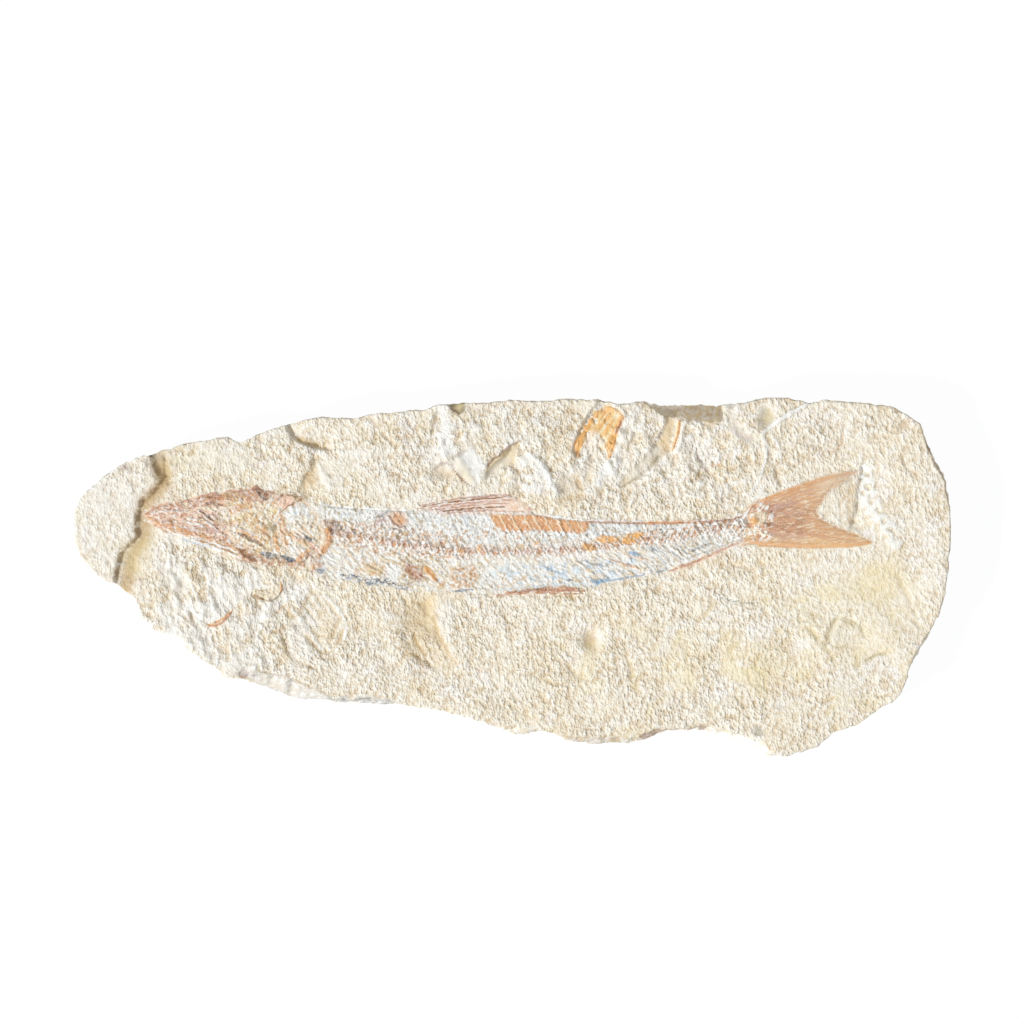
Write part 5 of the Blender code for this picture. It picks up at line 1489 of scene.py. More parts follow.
SKULL_LAYERS = layered(
    # the snout: mottled rust, mauve and cream
    (FRONT_HEAD, PINK, 0.75),
    (Flecks(1, 101, 0.42, FRONT_HEAD, 1.8, 12), RUST, 0.7, 0.08),
    (Flecks(0.7, 103, 0.3, FRONT_HEAD, 1.6, -20), MAUVE, 0.65),
    (Flecks(0.6, 105, 0.34, FRONT_HEAD, 2.2, -15), WHITE, 0.85, 0.14),
    (Flecks(0.6, 106, 0.24, FRONT_HEAD, 2, 30), CREAM, 0.9, 0.12),
    (Flecks(0.55, 107, 0.15, FRONT_HEAD, 1.8, 25), BROWN, 0.7, -0.12),
    (Flecks(0.7, 108, 0.55, Line(1.6, ((-88.3, 15.2), (-84, 17), (-80, 17.7), (-75, 18.8), (-70, 19.6)))),
     RUST, 0.6, 0.1),
    (Flecks(0.7, 109, 0.6, Line(1.2, ((-88.2, 14.6), (-85.5, 13.1), (-82, 12), (-77, 10.6), (-72, 9.2)))),
     ORANGE, 0.7, 0.1),
    (Line(0.6, ((-88.6, 15), (-86, 13.2), (-83, 12.2))), ORANGE, 0.6, 0.05),
    (Line(0.5, ((-87.2, 15.4), (-82.5, 15.9), (-78.5, 15.7))), WHITE, 0.5, 0.08),
    (Line(0.55, ((-75.4, 15.9), (-74, 15.1), (-71.8, 13.4))), UMBER, 0.9, -0.15),
    (Line(0.5, ((-74.8, 14.6), (-73.2, 13.4), (-70.8, 11.6))), BROWN, 0.8, -0.12),
    (Line(0.9, ((-74, 19.6), (-72, 18.9), (-70.3, 18.6))), BROWN, 0.8, -0.1),
    (Line(0.9, ((-73.6, 17.9), (-71.8, 17.6), (-69.8, 17.5))), BROWN, 0.7, -0.1),
    (Spot(-81.4, 16, (0.7, 0.5)), BROWN, 0.6),
    (Spot(-82, 13.5, (0.8, 0.5)), BROWN, 0.6),
    (Spot(-69.5, 19, (1.4, 1.1)), ORANGE, 0.85, 0.1),
    (Line(1.2, ((-76, 12.2), (-73.5, 11.6), (-70.6, 11))), MAUVE, 0.7),
    (Line(0.6, ((-79, 13.4), (-76.5, 12.8), (-74, 12.3))), WHITE, 0.9, 0.1),
    (Line(0.5, ((-80.5, 12.3), (-77, 11.4), (-74.5, 10.9))), WHITE, 0.7, 0.08),
    (Spot(-84, 13.5, (0.9, 0.6)), MAUVE, 0.5),
    (Spot(-77.5, 11.6, (1.4, 0.6), -15), MAUVE, 0.5),
    (Line(0.6, ((-76, 17), (-72, 16.4), (-68.8, 16.9), (-66, 18.4))), CREAM, 0.9, 0.12),
    # the eye and the middle of the head
    (Spot(-69.3, 14.7, (2.2, 1.8)), CHALK, 0.8, -0.2),
    (Line(0.5, ((-71, 15.6), (-69.4, 14.2), (-68.5, 12.6))), TAN, 0.8, -0.1),
    (REAR_HEAD, CREAM, 0.85),
    (Flecks(1, 113, 0.42, REAR_HEAD, 1.6, 75), APRICOT, 0.85, 0.05),
    (Flecks(1.3, 114, 0.3, REAR_HEAD, 1.5, -30), STRAW, 0.6, 0.1),
    (Flecks(0.7, 115, 0.24, REAR_HEAD, 1.9, -40), ORANGE, 0.75, 0.08),
    (Flecks(0.7, 116, 0.36, REAR_HEAD, 2.4, 65), WHITE, 0.9, 0.18),
    (Flecks(0.6, 117, 0.17, REAR_HEAD, 1.8, 60), BROWN, 0.6, -0.12),
    (Spot(-66.4, 16.5, (1.3, 1)), ORANGE, 0.75, 0.1),
    (Spot(-66, 14.2, (1, 0.9)), YELLOW, 0.7, 0.1),
    (Spot(-67.2, 13, (0.8, 0.8)), ORANGE, 0.6),
    (Spot(-62.5, 14, (1, 1.6)), YELLOW, 0.6, 0.1),
    (Spot(-60, 11.8, (1, 1.1)), GOLD, 0.55, 0.1),
    (Spot(-64.2, 17.6, (1.8, 0.9), 20), ORANGE, 0.6, 0.1),
    (Line(0.5, ((-66.5, 11.9), (-63, 10.8), (-60, 9.2))), WHITE, 0.9, 0.12),
    (Line(0.9, ((-66.2, 10.6), (-63.6, 9.6), (-60.2, 7.7))), BROWN, 0.85, -0.15),
    (Line(0.8, ((-66.4, 11.5), (-63, 10.2), (-59.4, 8.6))), ORANGE, 0.6, 0.1),
    (Line(0.5, ((-65, 9.2), (-62, 8), (-60.4, 7))), CREAM, 0.9, 0.12),
    (Line(1.4, ((-63.5, 6), (-59, 6.5), (-56.5, 7.5))), TAN, 0.6),
    (Line(0.5, ((-62, 12.2), (-59.5, 10.8), (-57.8, 9))), RUST, 0.6, -0.1),
    (Line(0.9, ((-59.5, 10.5), (-58.2, 8.8), (-56.8, 8.1))), RUST, 0.5, 0.08),
    # the roof of the skull
    (Flecks(0.8, 121, 0.62, Patch(((-74, 20.6), (-68, 21), (-61.5, 22.5), (-57, 20.8), (-57.2, 18.6),
     (-61, 17.8), (-67, 18.6), (-74, 18.4)), 1)), RUST, 0.8, 0.1),
    (Flecks(0.7, 122, 0.8, Line(1.6, ((-61.8, 21.6), (-60.8, 20.4), (-59.2, 18.8)), 1)), BROWN, 0.85, 0.1),
    (Line(0.6, ((-61.6, 21), (-60.2, 19.4), (-59.2, 18.5))), UMBER, 0.7, -0.1),
    (Patch(((-57.5, 19.9), (-52.5, 19.6), (-51.5, 17.8), (-54.5, 16.4), (-57, 17)), 1), PINK, 0.8, 0.05),
    (Line(0.6, ((-56.8, 18.4), (-56, 19.4), (-55.2, 20.1), (-52.8, 19.6), (-50.2, 19))), BROWN, 0.8, 0.15),
    (Line(0.5, ((-56.2, 15.4), (-54.4, 16.8), (-52.4, 18), (-50.2, 19.2))), BROWN, 0.7, 0.12),
    (Patch(((-55.2, 15), (-53.4, 16.8), (-51.2, 17.6), (-49, 16.6), (-48.4, 13.8), (-50, 12.4),
     (-53.5, 12.6)), 0.9), WHITE, 0.95, 0.15),
    (Flecks(1, 123, 0.35, Spot(-51.8, 15.4, (3.2, 2.4))), ICE, 0.9, 0.08),
    (Flecks(0.7, 125, 0.35, Patch(((-55, 16), (-49, 17.5), (-46, 15), (-48, 11), (-54, 12)), 1), 2, 70),
     WHITE, 0.9, 0.1),
    (Spot(-57.6, 12, (0.8, 1.5), 20), OLIVE, 0.9, -0.25),
    (Spot(-57.2, 12.6, (0.5, 0.5)), UMBER, 0.4),
    # gill cover and gill rays
    (Patch(((-53, 12.4), (-48.5, 12.6), (-46.8, 10.5), (-47, 7.5), (-49, 6.5), (-53, 9)), 1), CREAM, 0.7,
     0.08),
    (Hatch(1.1, -55, 131, Patch(((-57, 14.5), (-48, 12.5), (-46.8, 8), (-51, 4.5), (-57.5, 5)), 0.8), 0.35,
     0.45), ORANGE, 0.6, 0.1),
    (Flecks(0.6, 133, 0.4, Patch(((-57, 14.5), (-46.5, 12.5), (-46, 6), (-51, 4), (-57.5, 5)), 0.8), 3,
     -50), WHITE, 0.9, 0.18),
    (Line(0.7, ((-55.6, 14.2), (-54.8, 11.4), (-53, 9.6), (-50, 8.2))), ORANGE, 0.75, 0.14),
    (Line(0.7, ((-57.2, 10.6), (-56.8, 8), (-56.2, 5.8))), ORANGE, 0.7, 0.14),
    (Line(0.6, ((-56.2, 13), (-55.4, 9.6), (-54.2, 7))), ORANGE, 0.65, 0.12),
    (Line(0.6, ((-52.8, 11.8), (-50, 9.6), (-47.6, 7.6), (-45.8, 6))), WHITE, 0.9, 0.2),
    (Line(0.5, ((-52.6, 11), (-49.6, 8.8), (-46.4, 5.8))), RUST, 0.75, -0.1),
    (Spot(-52, 6.5, (1.7, 1.4)), WHITE, 0.9, 0.18),
    (Spot(-50.4, 13.6, (1.4, 1.2)), CREAM, 0.6, 0.1),
    (Line(0.9, ((-49, 8.8), (-47.6, 7.2), (-46.4, 5.4))), PINK, 0.7),
    (Spot(-49.2, 9.2, (1.1, 0.6), -30), SLATE, 1, -0.1),
    (Line(1.2, ((-48.6, 6.9), (-50.6, 5.2), (-52.6, 3.6))), ORANGE, 0.7, 0.2, 0.3),
    (Line(0.5, ((-48.4, 5.8), (-50.2, 4), (-51.8, 2.8))), BROWN, 0.7, -0.1),
    (Flecks(0.7, 135, 0.5, Patch(((-49.5, 6), (-46.5, 6.5), (-45.5, 3), (-48.5, 1)), 0.8)), RUST, 0.7, 0.1),
    (Spot(-47.4, 2.8, (1.2, 0.9)), ORANGE, 0.7, 0.12),
    # the lower margin
    (Flecks(0.9, 137, 0.6, Patch(((-63, 5.6), (-56, 4.6), (-50, 3.2), (-51, 2), (-60, 2.6), (-63.5, 4)),
     0.8)), RUST, 0.65),
    (Flecks(0.6, 139, 0.42, Patch(((-60.5, 6.2), (-52.5, 4.8), (-51, 3.2), (-56.5, 4.2), (-60.5, 5.2)),
     0.6), 2.5, -20), SLATE, 0.95, -0.12),
    (Line(1, ((-55.8, 5.1), (-54.2, 4.5), (-52.6, 3.9))), SLATE, 0.9, -0.15),
    (Flecks(0.6, 140, 0.6, Line(1.3, ((-60.5, 5.8), (-58.4, 5.2), (-56.6, 5)))), SLATE, 0.9, -0.1),
    (Line(1.4, ((-66.2, 7), (-64.4, 5.8), (-62.6, 4.4))), BROWN, 0.9, -0.1),
    (Line(0.6, ((-65.8, 6.8), (-64.4, 5.8), (-62.9, 4.6))), UMBER, 0.8, -0.1),
    (Line(1.9, ((-44.8, 11.6), (-44.4, 9.6), (-44.9, 7.8), (-45.7, 6))), ORANGE, 0.95, 0.25, 0.5),
    (Line(0.4, ((-45.4, 11), (-45, 9.4), (-45.6, 7.4))), CREAM, 0.8, 0.05),
    (Flecks(0.8, 273, 0.6, Patch(((-45.5, 13.6), (-42, 13.4), (-41, 11), (-44, 10.4)), 0.8)), BROWN, 0.8,
     0.1),
    (Spot(-43.6, 12.2, (0.9, 0.7)), MAUVE, 0.7),
)

JAW_LAYERS = layered(
    (Patch(((-85.5, 12.2), (-80, 10.8), (-70, 7.8), (-61, 4.6), (-61, 2), (-76, 6.5))), CREAM, 0.7),
    (Line(1.6, ((-82.5, 10.8), (-78, 9), (-74, 7.6), (-70.5, 6.4))), WHITE, 0.8, 0.05),
    (Flecks(0.6, 142, 0.6, Line(0.9, ((-83, 11.4), (-76, 9.7), (-69, 7.6), (-63, 5.4))), 3, -16), ORANGE,
     0.85, 0.1),
    (Flecks(0.6, 144, 0.6, Line(0.6, ((-80, 10.3), (-74, 8.4), (-68, 6.2), (-63.5, 4.2))), 3, -16), ORANGE,
     0.8, 0.08),
    (Line(0.5, ((-78, 10), (-72, 8.2), (-66, 6))), WHITE, 0.9, 0.12),
    (Line(0.5, ((-76, 8.3), (-71, 6.9), (-65.5, 4.6))), WHITE, 0.9, 0.1),
    (Line(0.4, ((-77, 9.4), (-71, 7.5), (-66.5, 5.6))), BROWN, 0.6, -0.08),
    (Line(0.7, ((-79.4, 9.3), (-77.4, 8.6), (-74.8, 7.9), (-72.2, 7))), BLUE, 0.4),
    (Flecks(0.7, 141, 0.55, Patch(((-66, 7), (-61.5, 5.5), (-61, 2.8), (-66.5, 4.2)), 0.6)), RUST, 0.85),
    (Line(1.3, ((-65.8, 6.6), (-64, 5.2), (-62, 3.9))), BROWN, 0.9, 0.1),
)

UPPER_TRUNK = Patch(((-46, 18), (-20, 17), (0, 16), (20, 14.5), (54, 15), (56, 13), (45, 11.6), (30, 10),
    (9, 7.8), (-15, 8), (-40, 12)), 1.2)
LOWER_TRUNK = Patch(((-47, 9), (-33, 8), (-15, 5.4), (9, 5.4), (30, 7.4), (55, 11), (54, 8), (40, 2.5),
    (20, -3), (-20, -5), (-50, -1)), 1.2)
FRONT_BACKBONE = Patch(((-46, 14), (-30, 12.4), (-12, 9.4), (-10, 4.2), (-28, 5), (-46, 8)), 1.2)
BAND = Patch(((-5.6, 15.1), (-3, 15.1), (4, 15), (8, 14.7), (10.5, 13.9), (18.6, 13.4), (17.6, 11.1),
    (16.5, 10.2), (14.5, 10.6), (11, 11), (9, 11.1), (6, 11.2), (4.5, 11.6), (3, 10.6), (0.5, 11),
    (-1.5, 10.8), (-4, 12)), 0.45)

TRUNK_LAYERS = layered(
    (Patch(((-47, 19), (-24, 16.2), (5, 15.4), (20, 15), (56, 15), (57, 8.4), (37, 1.2), (20, -2),
     (0, -3.4), (-20, -5), (-49, -1), (-46, 9)), 1.6), WHITE, 0.9),
    (Flecks(2, 199, 0.45, UPPER_TRUNK, 1.5, -30), ICE, 0.3, 0.05),
    (Flecks(1.6, 198, 0.32, LOWER_TRUNK, 1.8, -35), CREAM, 0.6, 0.08),
    # scales and ribs
    (Hatch(1.3, -58, 201, UPPER_TRUNK, 0.26, 0.62), GREY, 0.5, -0.1),
    (Hatch(1.1, -32, 203, LOWER_TRUNK, 0.25, 0.6), GREY, 0.45, -0.1),
    # sunk grey flecks: partly the bone's grey, partly painted shade between its white ridges
    (Flecks(0.5, 202, 0.18, UPPER_TRUNK, 2, 48), GREY, 0.6, -0.14),
    (Flecks(0.5, 204, 0.14, LOWER_TRUNK, 2, 40), TAN, 0.5, -0.12),
    (Hatch(1.7, -44, 205, LOWER_TRUNK, 0.3, 0.6), SAND, 0.7, 0.1),
    # sunk grey flecks: partly the bone's grey, partly painted shade between its white ridges
    (Flecks(0.6, 207, 0.16, UPPER_TRUNK, 2.2, -58), GREY, 0.6, -0.14),
    (Flecks(0.6, 209, 0.14, LOWER_TRUNK, 2.4, -30), GREY, 0.55, -0.12),
    (Flecks(0.7, 211, 0.16, UPPER_TRUNK), TAN, 0.25, -0.05),
    (Flecks(0.55, 212, 0.28, UPPER_TRUNK, 1.6, 40), WHITE, 0.95, 0.2),
    (Flecks(0.55, 214, 0.25, LOWER_TRUNK, 2.6, -35), WHITE, 0.95, 0.18),
    (Flecks(0.8, 213, 0.12, LOWER_TRUNK), PINK, 0.6),
    (Hatch(1.9, -62, 215, Patch(((18, 13.4), (40, 13.2), (40, 11.2), (30, 10.4), (20, 9.6), (17, 10.5)),
     0.8), 0.16, 0.05), SLATE, 0.6, -0.1),
    (Hatch(1.9, 58, 217, Patch(((17, 12), (40, 12.6), (40, 10.8), (20, 9.4)), 0.8), 0.14, 0.35), SLATE,
     0.4, -0.08),
    (Line(0.5, ((-40, 7), (-38.4, 4.4), (-35.8, 1))), TAN, 0.7, 0.12),
    (Line(0.5, ((-35, 6.6), (-30.5, 4.4), (-25.5, 2.4))), SAND, 0.8, 0.12),
    (Line(0.5, ((-22.5, 5.8), (-19.8, 4.6), (-16.6, 3.2))), TAN, 0.7, 0.12),
    (Line(0.5, ((-30, 6.4), (-27, 5.4), (-23.4, 4.8))), TAN, 0.6, 0.1),
    # the backbone
    (Flecks(0.8, 219, 0.28, Line(2, ((-44, 13), (-36, 12), (-27, 10.8), (-12, 10.4), (-3, 10), (10, 9.6)),
     1), 1.4, 60), ORANGE, 0.85, 0.12),
    (Flecks(1, 221, 0.46, FRONT_BACKBONE, 1.3, 60), APRICOT, 0.9, 0.12),
    (Flecks(0.8, 223, 0.3, FRONT_BACKBONE, 1.5, -50), RUST, 0.85, 0.05),
    (Flecks(0.7, 224, 0.15, FRONT_BACKBONE, 1.5, 20), BROWN, 0.65, -0.1),
    (Flecks(0.7, 225, 0.42, FRONT_BACKBONE, 1.5, 65), WHITE, 0.95, 0.2),
    (Flecks(0.9, 227, 0.35, Valley(2, BACKBONE)), APRICOT, 0.5, 0.06),
    (Hourglasses(BACKBONE, 2.7, 0.25, 1.25), RUST, 0.85, 0.14),
    (Flecks(0.9, 228, 0.35, Valley(1.5, BACKBONE)), ORANGE, 0.85, 0.08),
    (Zigzag(BACKBONE, 2.7, 1.3, 0.28), WHITE, 0.95, 0.24),
    (Zigzag(BACKBONE, 5.4, -1.7, 0.22), WHITE, 0.8, 0.16),
    (Flecks(0.6, 229, 0.28, Valley(2.3, BACKBONE)), WHITE, 0.95, 0.16),
    (Flecks(0.6, 231, 0.18, Valley(1.5, BACKBONE)), BROWN, 0.8, -0.1),
    (Spot(-7.8, 6.7, (0.8, 1)), GOLD, 0.9, 0.12),
    (Spot(-12, 6.3, (1.2, 0.9)), ORANGE, 0.7, 0.1),
    (Spot(-4.9, 6.4, (0.8, 0.8)), BROWN, 0.6, 0.1),
    (Spot(17.4, 6.9, (0.5, 0.8)), OLIVE, 0.7),
    (Spot(5.6, 8.2, (1.1, 0.6), 15), GOLD, 0.8, 0.12),
    (Spot(1.8, 7.3, (1.2, 0.6), 20), YELLOW, 0.8, 0.1),
    (Patch(((16.8, 8.6), (18.6, 8), (19.8, 7), (19.2, 6.2), (17.8, 6.4), (16.9, 7.4)), 0.4), GOLD, 0.9,
     0.15),
    # the bright band under the back
    (BAND, ORANGE, 0.97, 0.16, 0.95),
    (Flecks(2.2, 233, 0.4, BAND, 1.5, -50), RUST, 0.22),
    (Flecks(0.6, 234, 0.12, BAND, 1.5, -50), WHITE, 0.6, 0.05),
    (Flecks(1.1, 235, 0.3, Patch(((-6, 15.5), (-2, 15.5), (-2.5, 13), (-5.5, 13)), 0.8)), YELLOW, 0.7),
) + tuple(
    Layer(Line(0.32, ((x, 15), (x + 0.9, 13), (x + 2.3, 10.9)), 0.8), CREAM, 1, 0.12)
    for x in (-3.2, -0.5, 2.6, 4.8, 7.4)
) + tuple(
    Layer(Line(0.32, ((x, 13.9), (x + 0.7, 12.6), (x + 2, 10.7)), 0.8), CREAM, 1, 0.12)
    for x in (10.4, 12.8, 15.3)
) + layered(
    (Spot(2.6, 13.2, (0.5, 0.4)), WHITE, 0.9),
    (Flecks(0.7, 237, 0.4, Line(0.9, ((-4.8, 11.8), (2, 10.7), (9, 10.9)))), RUST, 0.8, -0.1),
    (Zigzag(((-3, 11), (4, 10.8), (12, 10.7), (17.5, 10)), 1.5, 0.5, 0.3), WHITE, 0.95, 0.15),
    (Line(0.6, ((18, 13.3), (24, 13.2), (33, 13), (46, 13.3), (53, 13.9), (57, 15.4))), RUST, 0.95, 0.1,
     0.7),
    (Line(1, ((31.6, 13.2), (34.6, 13.3), (37.4, 13.1), (40, 13.4), (42.6, 13.4), (46, 13.2))), ORANGE,
     0.95, 0.15, 0.7),
    (Flecks(0.8, 239, 0.4, Patch(((33, 14), (46, 14.2), (46, 12.4), (33, 12.6)), 0.5)), RUST, 0.5, 0.08),
    # gold mineral over the rear backbone
    (Flecks(0.8, 243, 0.4, Patch(((31, 10.8), (44, 12.4), (45, 9.6), (31, 7.4)), 0.6), 1.6, 60), ORANGE,
     0.85, 0.12),
    (Flecks(0.7, 245, 0.22, Patch(((29, 9.2), (38, 11.2), (38, 8.2), (29, 7)), 0.6)), RUST, 0.8),
    (Flecks(0.9, 247, 0.5, Patch(((42, 13.6), (56, 14.5), (56, 11), (44, 10)), 0.8), 1.8, 55), RUST, 0.9,
     0.12),
    (Hatch(1.3, 50, 248, Patch(((32, 12.6), (56, 14), (56, 9.8), (32, 8)), 0.8), 0.4, 0.3), WHITE, 0.95,
     0.2),
    (Hatch(1.5, -58, 249, Patch(((42, 13.4), (56, 14), (56, 10.2), (44, 9.8)), 0.8), 0.35, 0.3), WHITE,
     0.95, 0.18),
    (Patch(((19.6, 9.2), (21.4, 10.2), (22.8, 9.7), (24.4, 9.9), (26, 9.4), (25.2, 8.5), (23, 8.2),
     (21, 8.4)), 0.4), GOLD, 0.97, 0.2, 0.7),
    (Patch(((26.4, 9.3), (27.8, 10.3), (29.8, 11), (31.8, 10.9), (31.4, 9.9), (30, 9.4), (29.6, 8.3),
     (28.2, 8.2), (26.6, 8)), 0.4), GOLD, 0.97, 0.2, 0.7),
    (Flecks(0.7, 241, 0.25, Patch(((19, 11), (32, 11.5), (32, 7), (19, 7.4)), 0.6)), WHITE, 0.8, 0.1),
    # blue and grey mineral in the belly
    (Flecks(1.6, 251, 0.42, Patch(((-6, 3.4), (6, 3.2), (13, 2), (31, 5.5), (30, 1.5), (18, -1.6), (2, -2),
     (-4, 0)), 2), 1.8, -25), ICE, 0.9),
    (Flecks(0.8, 253, 0.25, Patch(((4, 3.6), (26, 4.4), (26, 1), (6, -1.5)), 1), 2, -25), BLUE, 0.5),
    (Line(0.6, ((6, 3), (8.5, 2.2), (11.5, 1))), BLUE, 0.65),
    (Line(0.6, ((16.5, 4.2), (19, 3.2), (22.4, 2.6))), SLATE, 0.55),
    (Patch(((18.6, -0.6), (20.5, -0.4), (23.5, -0.2), (22, -1.3), (19.6, -2)), 0.6), BLUE, 0.85),
    (Line(0.55, ((22, -0.9), (25, -0.6), (28, 0), (31.5, 0.6))), BLUE, 0.75),
    (Line(0.5, ((-3, -2.9), (4, -2.4), (12, -1.6), (18, -1.7))), ICE, 0.8),
    (Line(0.5, ((13, -0.6), (14.4, -0.8))), SLATE, 0.8),
    (Line(1, ((28, 6.1), (29.4, 5.6), (30.6, 5.2))), BLUE, 0.95),
    (Spot(27.8, 3, (0.6, 0.5)), BLUE, 0.75),
    (Line(0.5, ((23, 4.4), (26, 3.2), (30.4, 2.2))), ORANGE, 0.7, 0.1),
    (Line(0.45, ((27.5, 5.2), (30, 4.6), (32.6, 4))), ORANGE, 0.6, 0.1),
    (Hatch(1, -35, 255, Patch(((31, 7.8), (36, 8.4), (46, 9.8), (50, 10), (44, 6.4), (36, 3), (30, 1.8)),
     1), 0.4, 0.35), SLATE, 0.4, -0.06),
    (Spot(34, 6.6, (1.3, 0.6), -25), SLATE, 0.5),
    (Line(0.7, ((34.6, 1.2), (36.6, 1.7))), SLATE, 0.6),
    (Line(0.6, ((43, 6.2), (46, 7.6), (48.4, 8.4))), SLATE, 0.5, -0.1),
    (Flecks(0.6, 257, 0.4, Patch(((32, 2.4), (38, 3.6), (38, 1.6), (33, 0.6)), 0.6)), SLATE, 0.45),
    # the gut and loose scales
    (Flecks(0.9, 261, 0.58, Patch(((-28, 5), (-21, 4.2), (-20, -1.5), (-26, -1.5)), 1.2)), TAN, 0.8, 0.05),
    (Patch(((-26.4, 3.6), (-23, 2.6), (-21.2, 0.2), (-22.4, -1.2), (-25, 0.4)), 0.9), RUST, 0.85, 0.08),
    (Flecks(0.7, 263, 0.35, Patch(((-27.5, 4), (-21.5, 3), (-20.5, -2.5), (-25.5, -2)), 0.8)), BROWN, 0.75,
     -0.06),
    (Line(1.5, ((-21.3, 2.5), (-20, 1.2), (-18.4, -0.7))), GOLD, 1, 0.2, 0.6),
    (Line(0.6, ((-21, 1.8), (-19.4, 0.4), (-17.9, -1.4))), RUST, 0.6, 0.1),
    (Spot(-17, -1.7, (0.6, 0.7)), ORANGE, 0.8, 0.1),
    (Flecks(0.8, 265, 0.55, Patch(((-15, 2.2), (-9.5, 3.4), (-8, 0), (-10, -2.6), (-15, -2.8)), 1.2)),
     APRICOT, 0.95, 0.08),
    (Flecks(0.8, 267, 0.3, Patch(((-15, 2.2), (-9.5, 3.4), (-8, 0), (-10, -2.6)), 1.2)), BROWN, 0.5),
    (Flecks(0.8, 269, 0.3, Patch(((-6, -0.5), (4, 0.5), (4, -2.4), (-6, -3)), 1)), ORANGE, 0.6),
    (Patch(((-36.6, 3.6), (-32, 3), (-31, 0.6), (-35, 0.4)), 1), SAND, 0.8, 0.1),
    (Flecks(0.7, 271, 0.4, Patch(((-38, 4), (-30, 3.6), (-30, -0.5), (-38, 0.4)), 1)), ORANGE, 0.55),
    (Spot(-27.5, 14, (2.2, 1.7), -30), ORANGE, 0.95, 0.15, 0.8),
    (Line(0.5, ((-29.8, 15), (-28.9, 13.2), (-27.2, 12.2), (-25.8, 12.2))), BROWN, 0.75, -0.1),
    (Flecks(0.7, 272, 0.6, Spot(-31.4, 13.9, (2.2, 1.3), 20)), MAUVE, 0.8, -0.05),
    (Line(0.7, ((-33.4, 14.2), (-31.4, 15), (-29.8, 16))), SLATE, 0.5, -0.08),
    # the dark line of the belly
    (Spot(-46.4, 1.6, (1.2, 0.6)), SLATE, 0.9),
    (Flecks(0.55, 275, 0.6, Line(1.4, ((-41.4, 0.6), (-39.6, 0.1), (-37.6, 0.2), (-36.4, -0.9),
     (-34.6, -1.2), (-32.6, -0.9), (-30.4, -1), (-28.4, -1.9), (-25.4, -2.8)))), SLATE, 0.95, -0.1),
    (Flecks(0.5, 277, 0.45, Line(0.9, ((-37, -0.4), (-32.6, -0.6), (-28.6, -1.5), (-24.5, -3)))), UMBER,
     0.7, -0.1),
    (Flecks(0.5, 279, 0.35, Line(1.6, ((-37, -0.4), (-32.6, -0.6), (-28.6, -1.5), (-24.5, -3)))), WHITE,
     0.8, 0.1),
    (Line(0.55, ((-15.6, -3.4), (-12.6, -3.2), (-9.6, -2.9))), SLATE, 0.8),
)

DORSAL_LAYERS = layered(
    (Patch(((-23, 16.4), (-18, 18.4), (-4, 20.2), (1.5, 19.6), (4.5, 17), (4.5, 15.2), (-17, 15.2)), 1.6),
     PINK, 0.5, 0, 0.5),
    (Flecks(0.8, 301, 0.3, Patch(((-8, 19.8), (2, 19.6), (4.8, 17), (4.8, 15.4), (-4, 15.6)), 1), 2, 6),
     PINK, 0.8, 0.05),
) + tuple(
    Layer(Line(0.42, run, 0.9), BROWN if number % 3 == 1 else MAUVE, 0.95, 0.14)
    for number, run in enumerate((
        ((-22.6, 17.1), (-17.6, 18.3), (-12.4, 18.95), (-7.2, 19.4), (-3.1, 19.8), (1.3, 19.4)),
        ((-21.6, 17), (-16.8, 17.8), (-12, 18.4), (-6.4, 19), (-1.3, 19.2)),
        ((-20.4, 16.8), (-16, 17.2), (-11.2, 17.8), (-6, 18.2), (0.7, 18.6)),
        ((-18.8, 16.2), (-14.4, 16.8), (-10.4, 17.2), (-6, 17.6), (-1.1, 17.7)),
        ((-17.6, 15.8), (-13.6, 16.2), (-9.6, 16.6), (-5.5, 16.8), (-2, 16.9)),
        ((-16.4, 15.3), (-12.4, 15.7), (-8.4, 16), (-4.7, 16.2)),
    ))
) + layered(
    (Flecks(0.5, 303, 0.3, Patch(((-22, 17.5), (-4, 20.5), (4.5, 18.5), (4.8, 15.4), (-17, 15.4)), 0.8), 3,
     6), WHITE, 0.8, 0.06),
    (Flecks(0.6, 305, 0.35, Line(1, ((2.6, 17.4), (4, 16.4), (5, 15.6)))), MAUVE, 0.6),
)

PELVIC_LAYERS = tuple(
    Layer(Flecks(0.5, 311 + 2 * number, 0.7, Line(width, run), 3.5, 4), RUST, 0.9, 0.1)
    for number, (width, run) in enumerate((
        (1, ((-1.8, -3.9), (1.7, -3.4), (6.5, -3), (9, -2.7), (14, -2.65), (17.2, -3.3))),
        (0.5, ((-5.6, -4.5), (-2.3, -4.4), (0.5, -4.3), (4.1, -3.6))),
        (0.6, ((3.6, -3.5), (10.1, -3.9), (13.7, -4.05), (16.5, -3.9))),
        (0.5, ((6, -3.2), (10, -3.2), (15.5, -3.3))),
    ))
) + layered(
    (Line(0.4, ((0, -3.7), (4, -3.2), (8, -2.9))), BROWN, 0.7, 0.1),
    (Spot(-2.2, -4.8, (0.8, 0.3)), BROWN, 0.6),
)
ANAL_LAYERS = layered(
    (Line(1.2, ((37.4, 1.3), (42, 2.9), (48, 5.3), (54, 8.2)), 1), PINK, 0.6),
    (Line(0.7, ((37.4, 1.4), (40.3, 2.5), (44.3, 3.8), (47, 5.1))), RUST, 0.85, 0.12),
    (Line(0.5, ((43, 3.5), (48.3, 5.7), (52.3, 7.5), (55.6, 8.7))), RUST, 0.7, 0.12),
    (Flecks(0.5, 335, 0.25, Patch(((36, 0), (36, 2.5), (55, 10), (55, 7))), 2.5, 25), CREAM, 0.7),
    (Zigzag(((42, 5.4), (48, 7.4), (54, 9.6)), 1.3, 0.4, 0.2), WHITE, 0.9, 0.15),
    (Line(0.3, ((42, 4.6), (48, 6.6), (53, 8.6))), GREY, 0.6, -0.1),
)

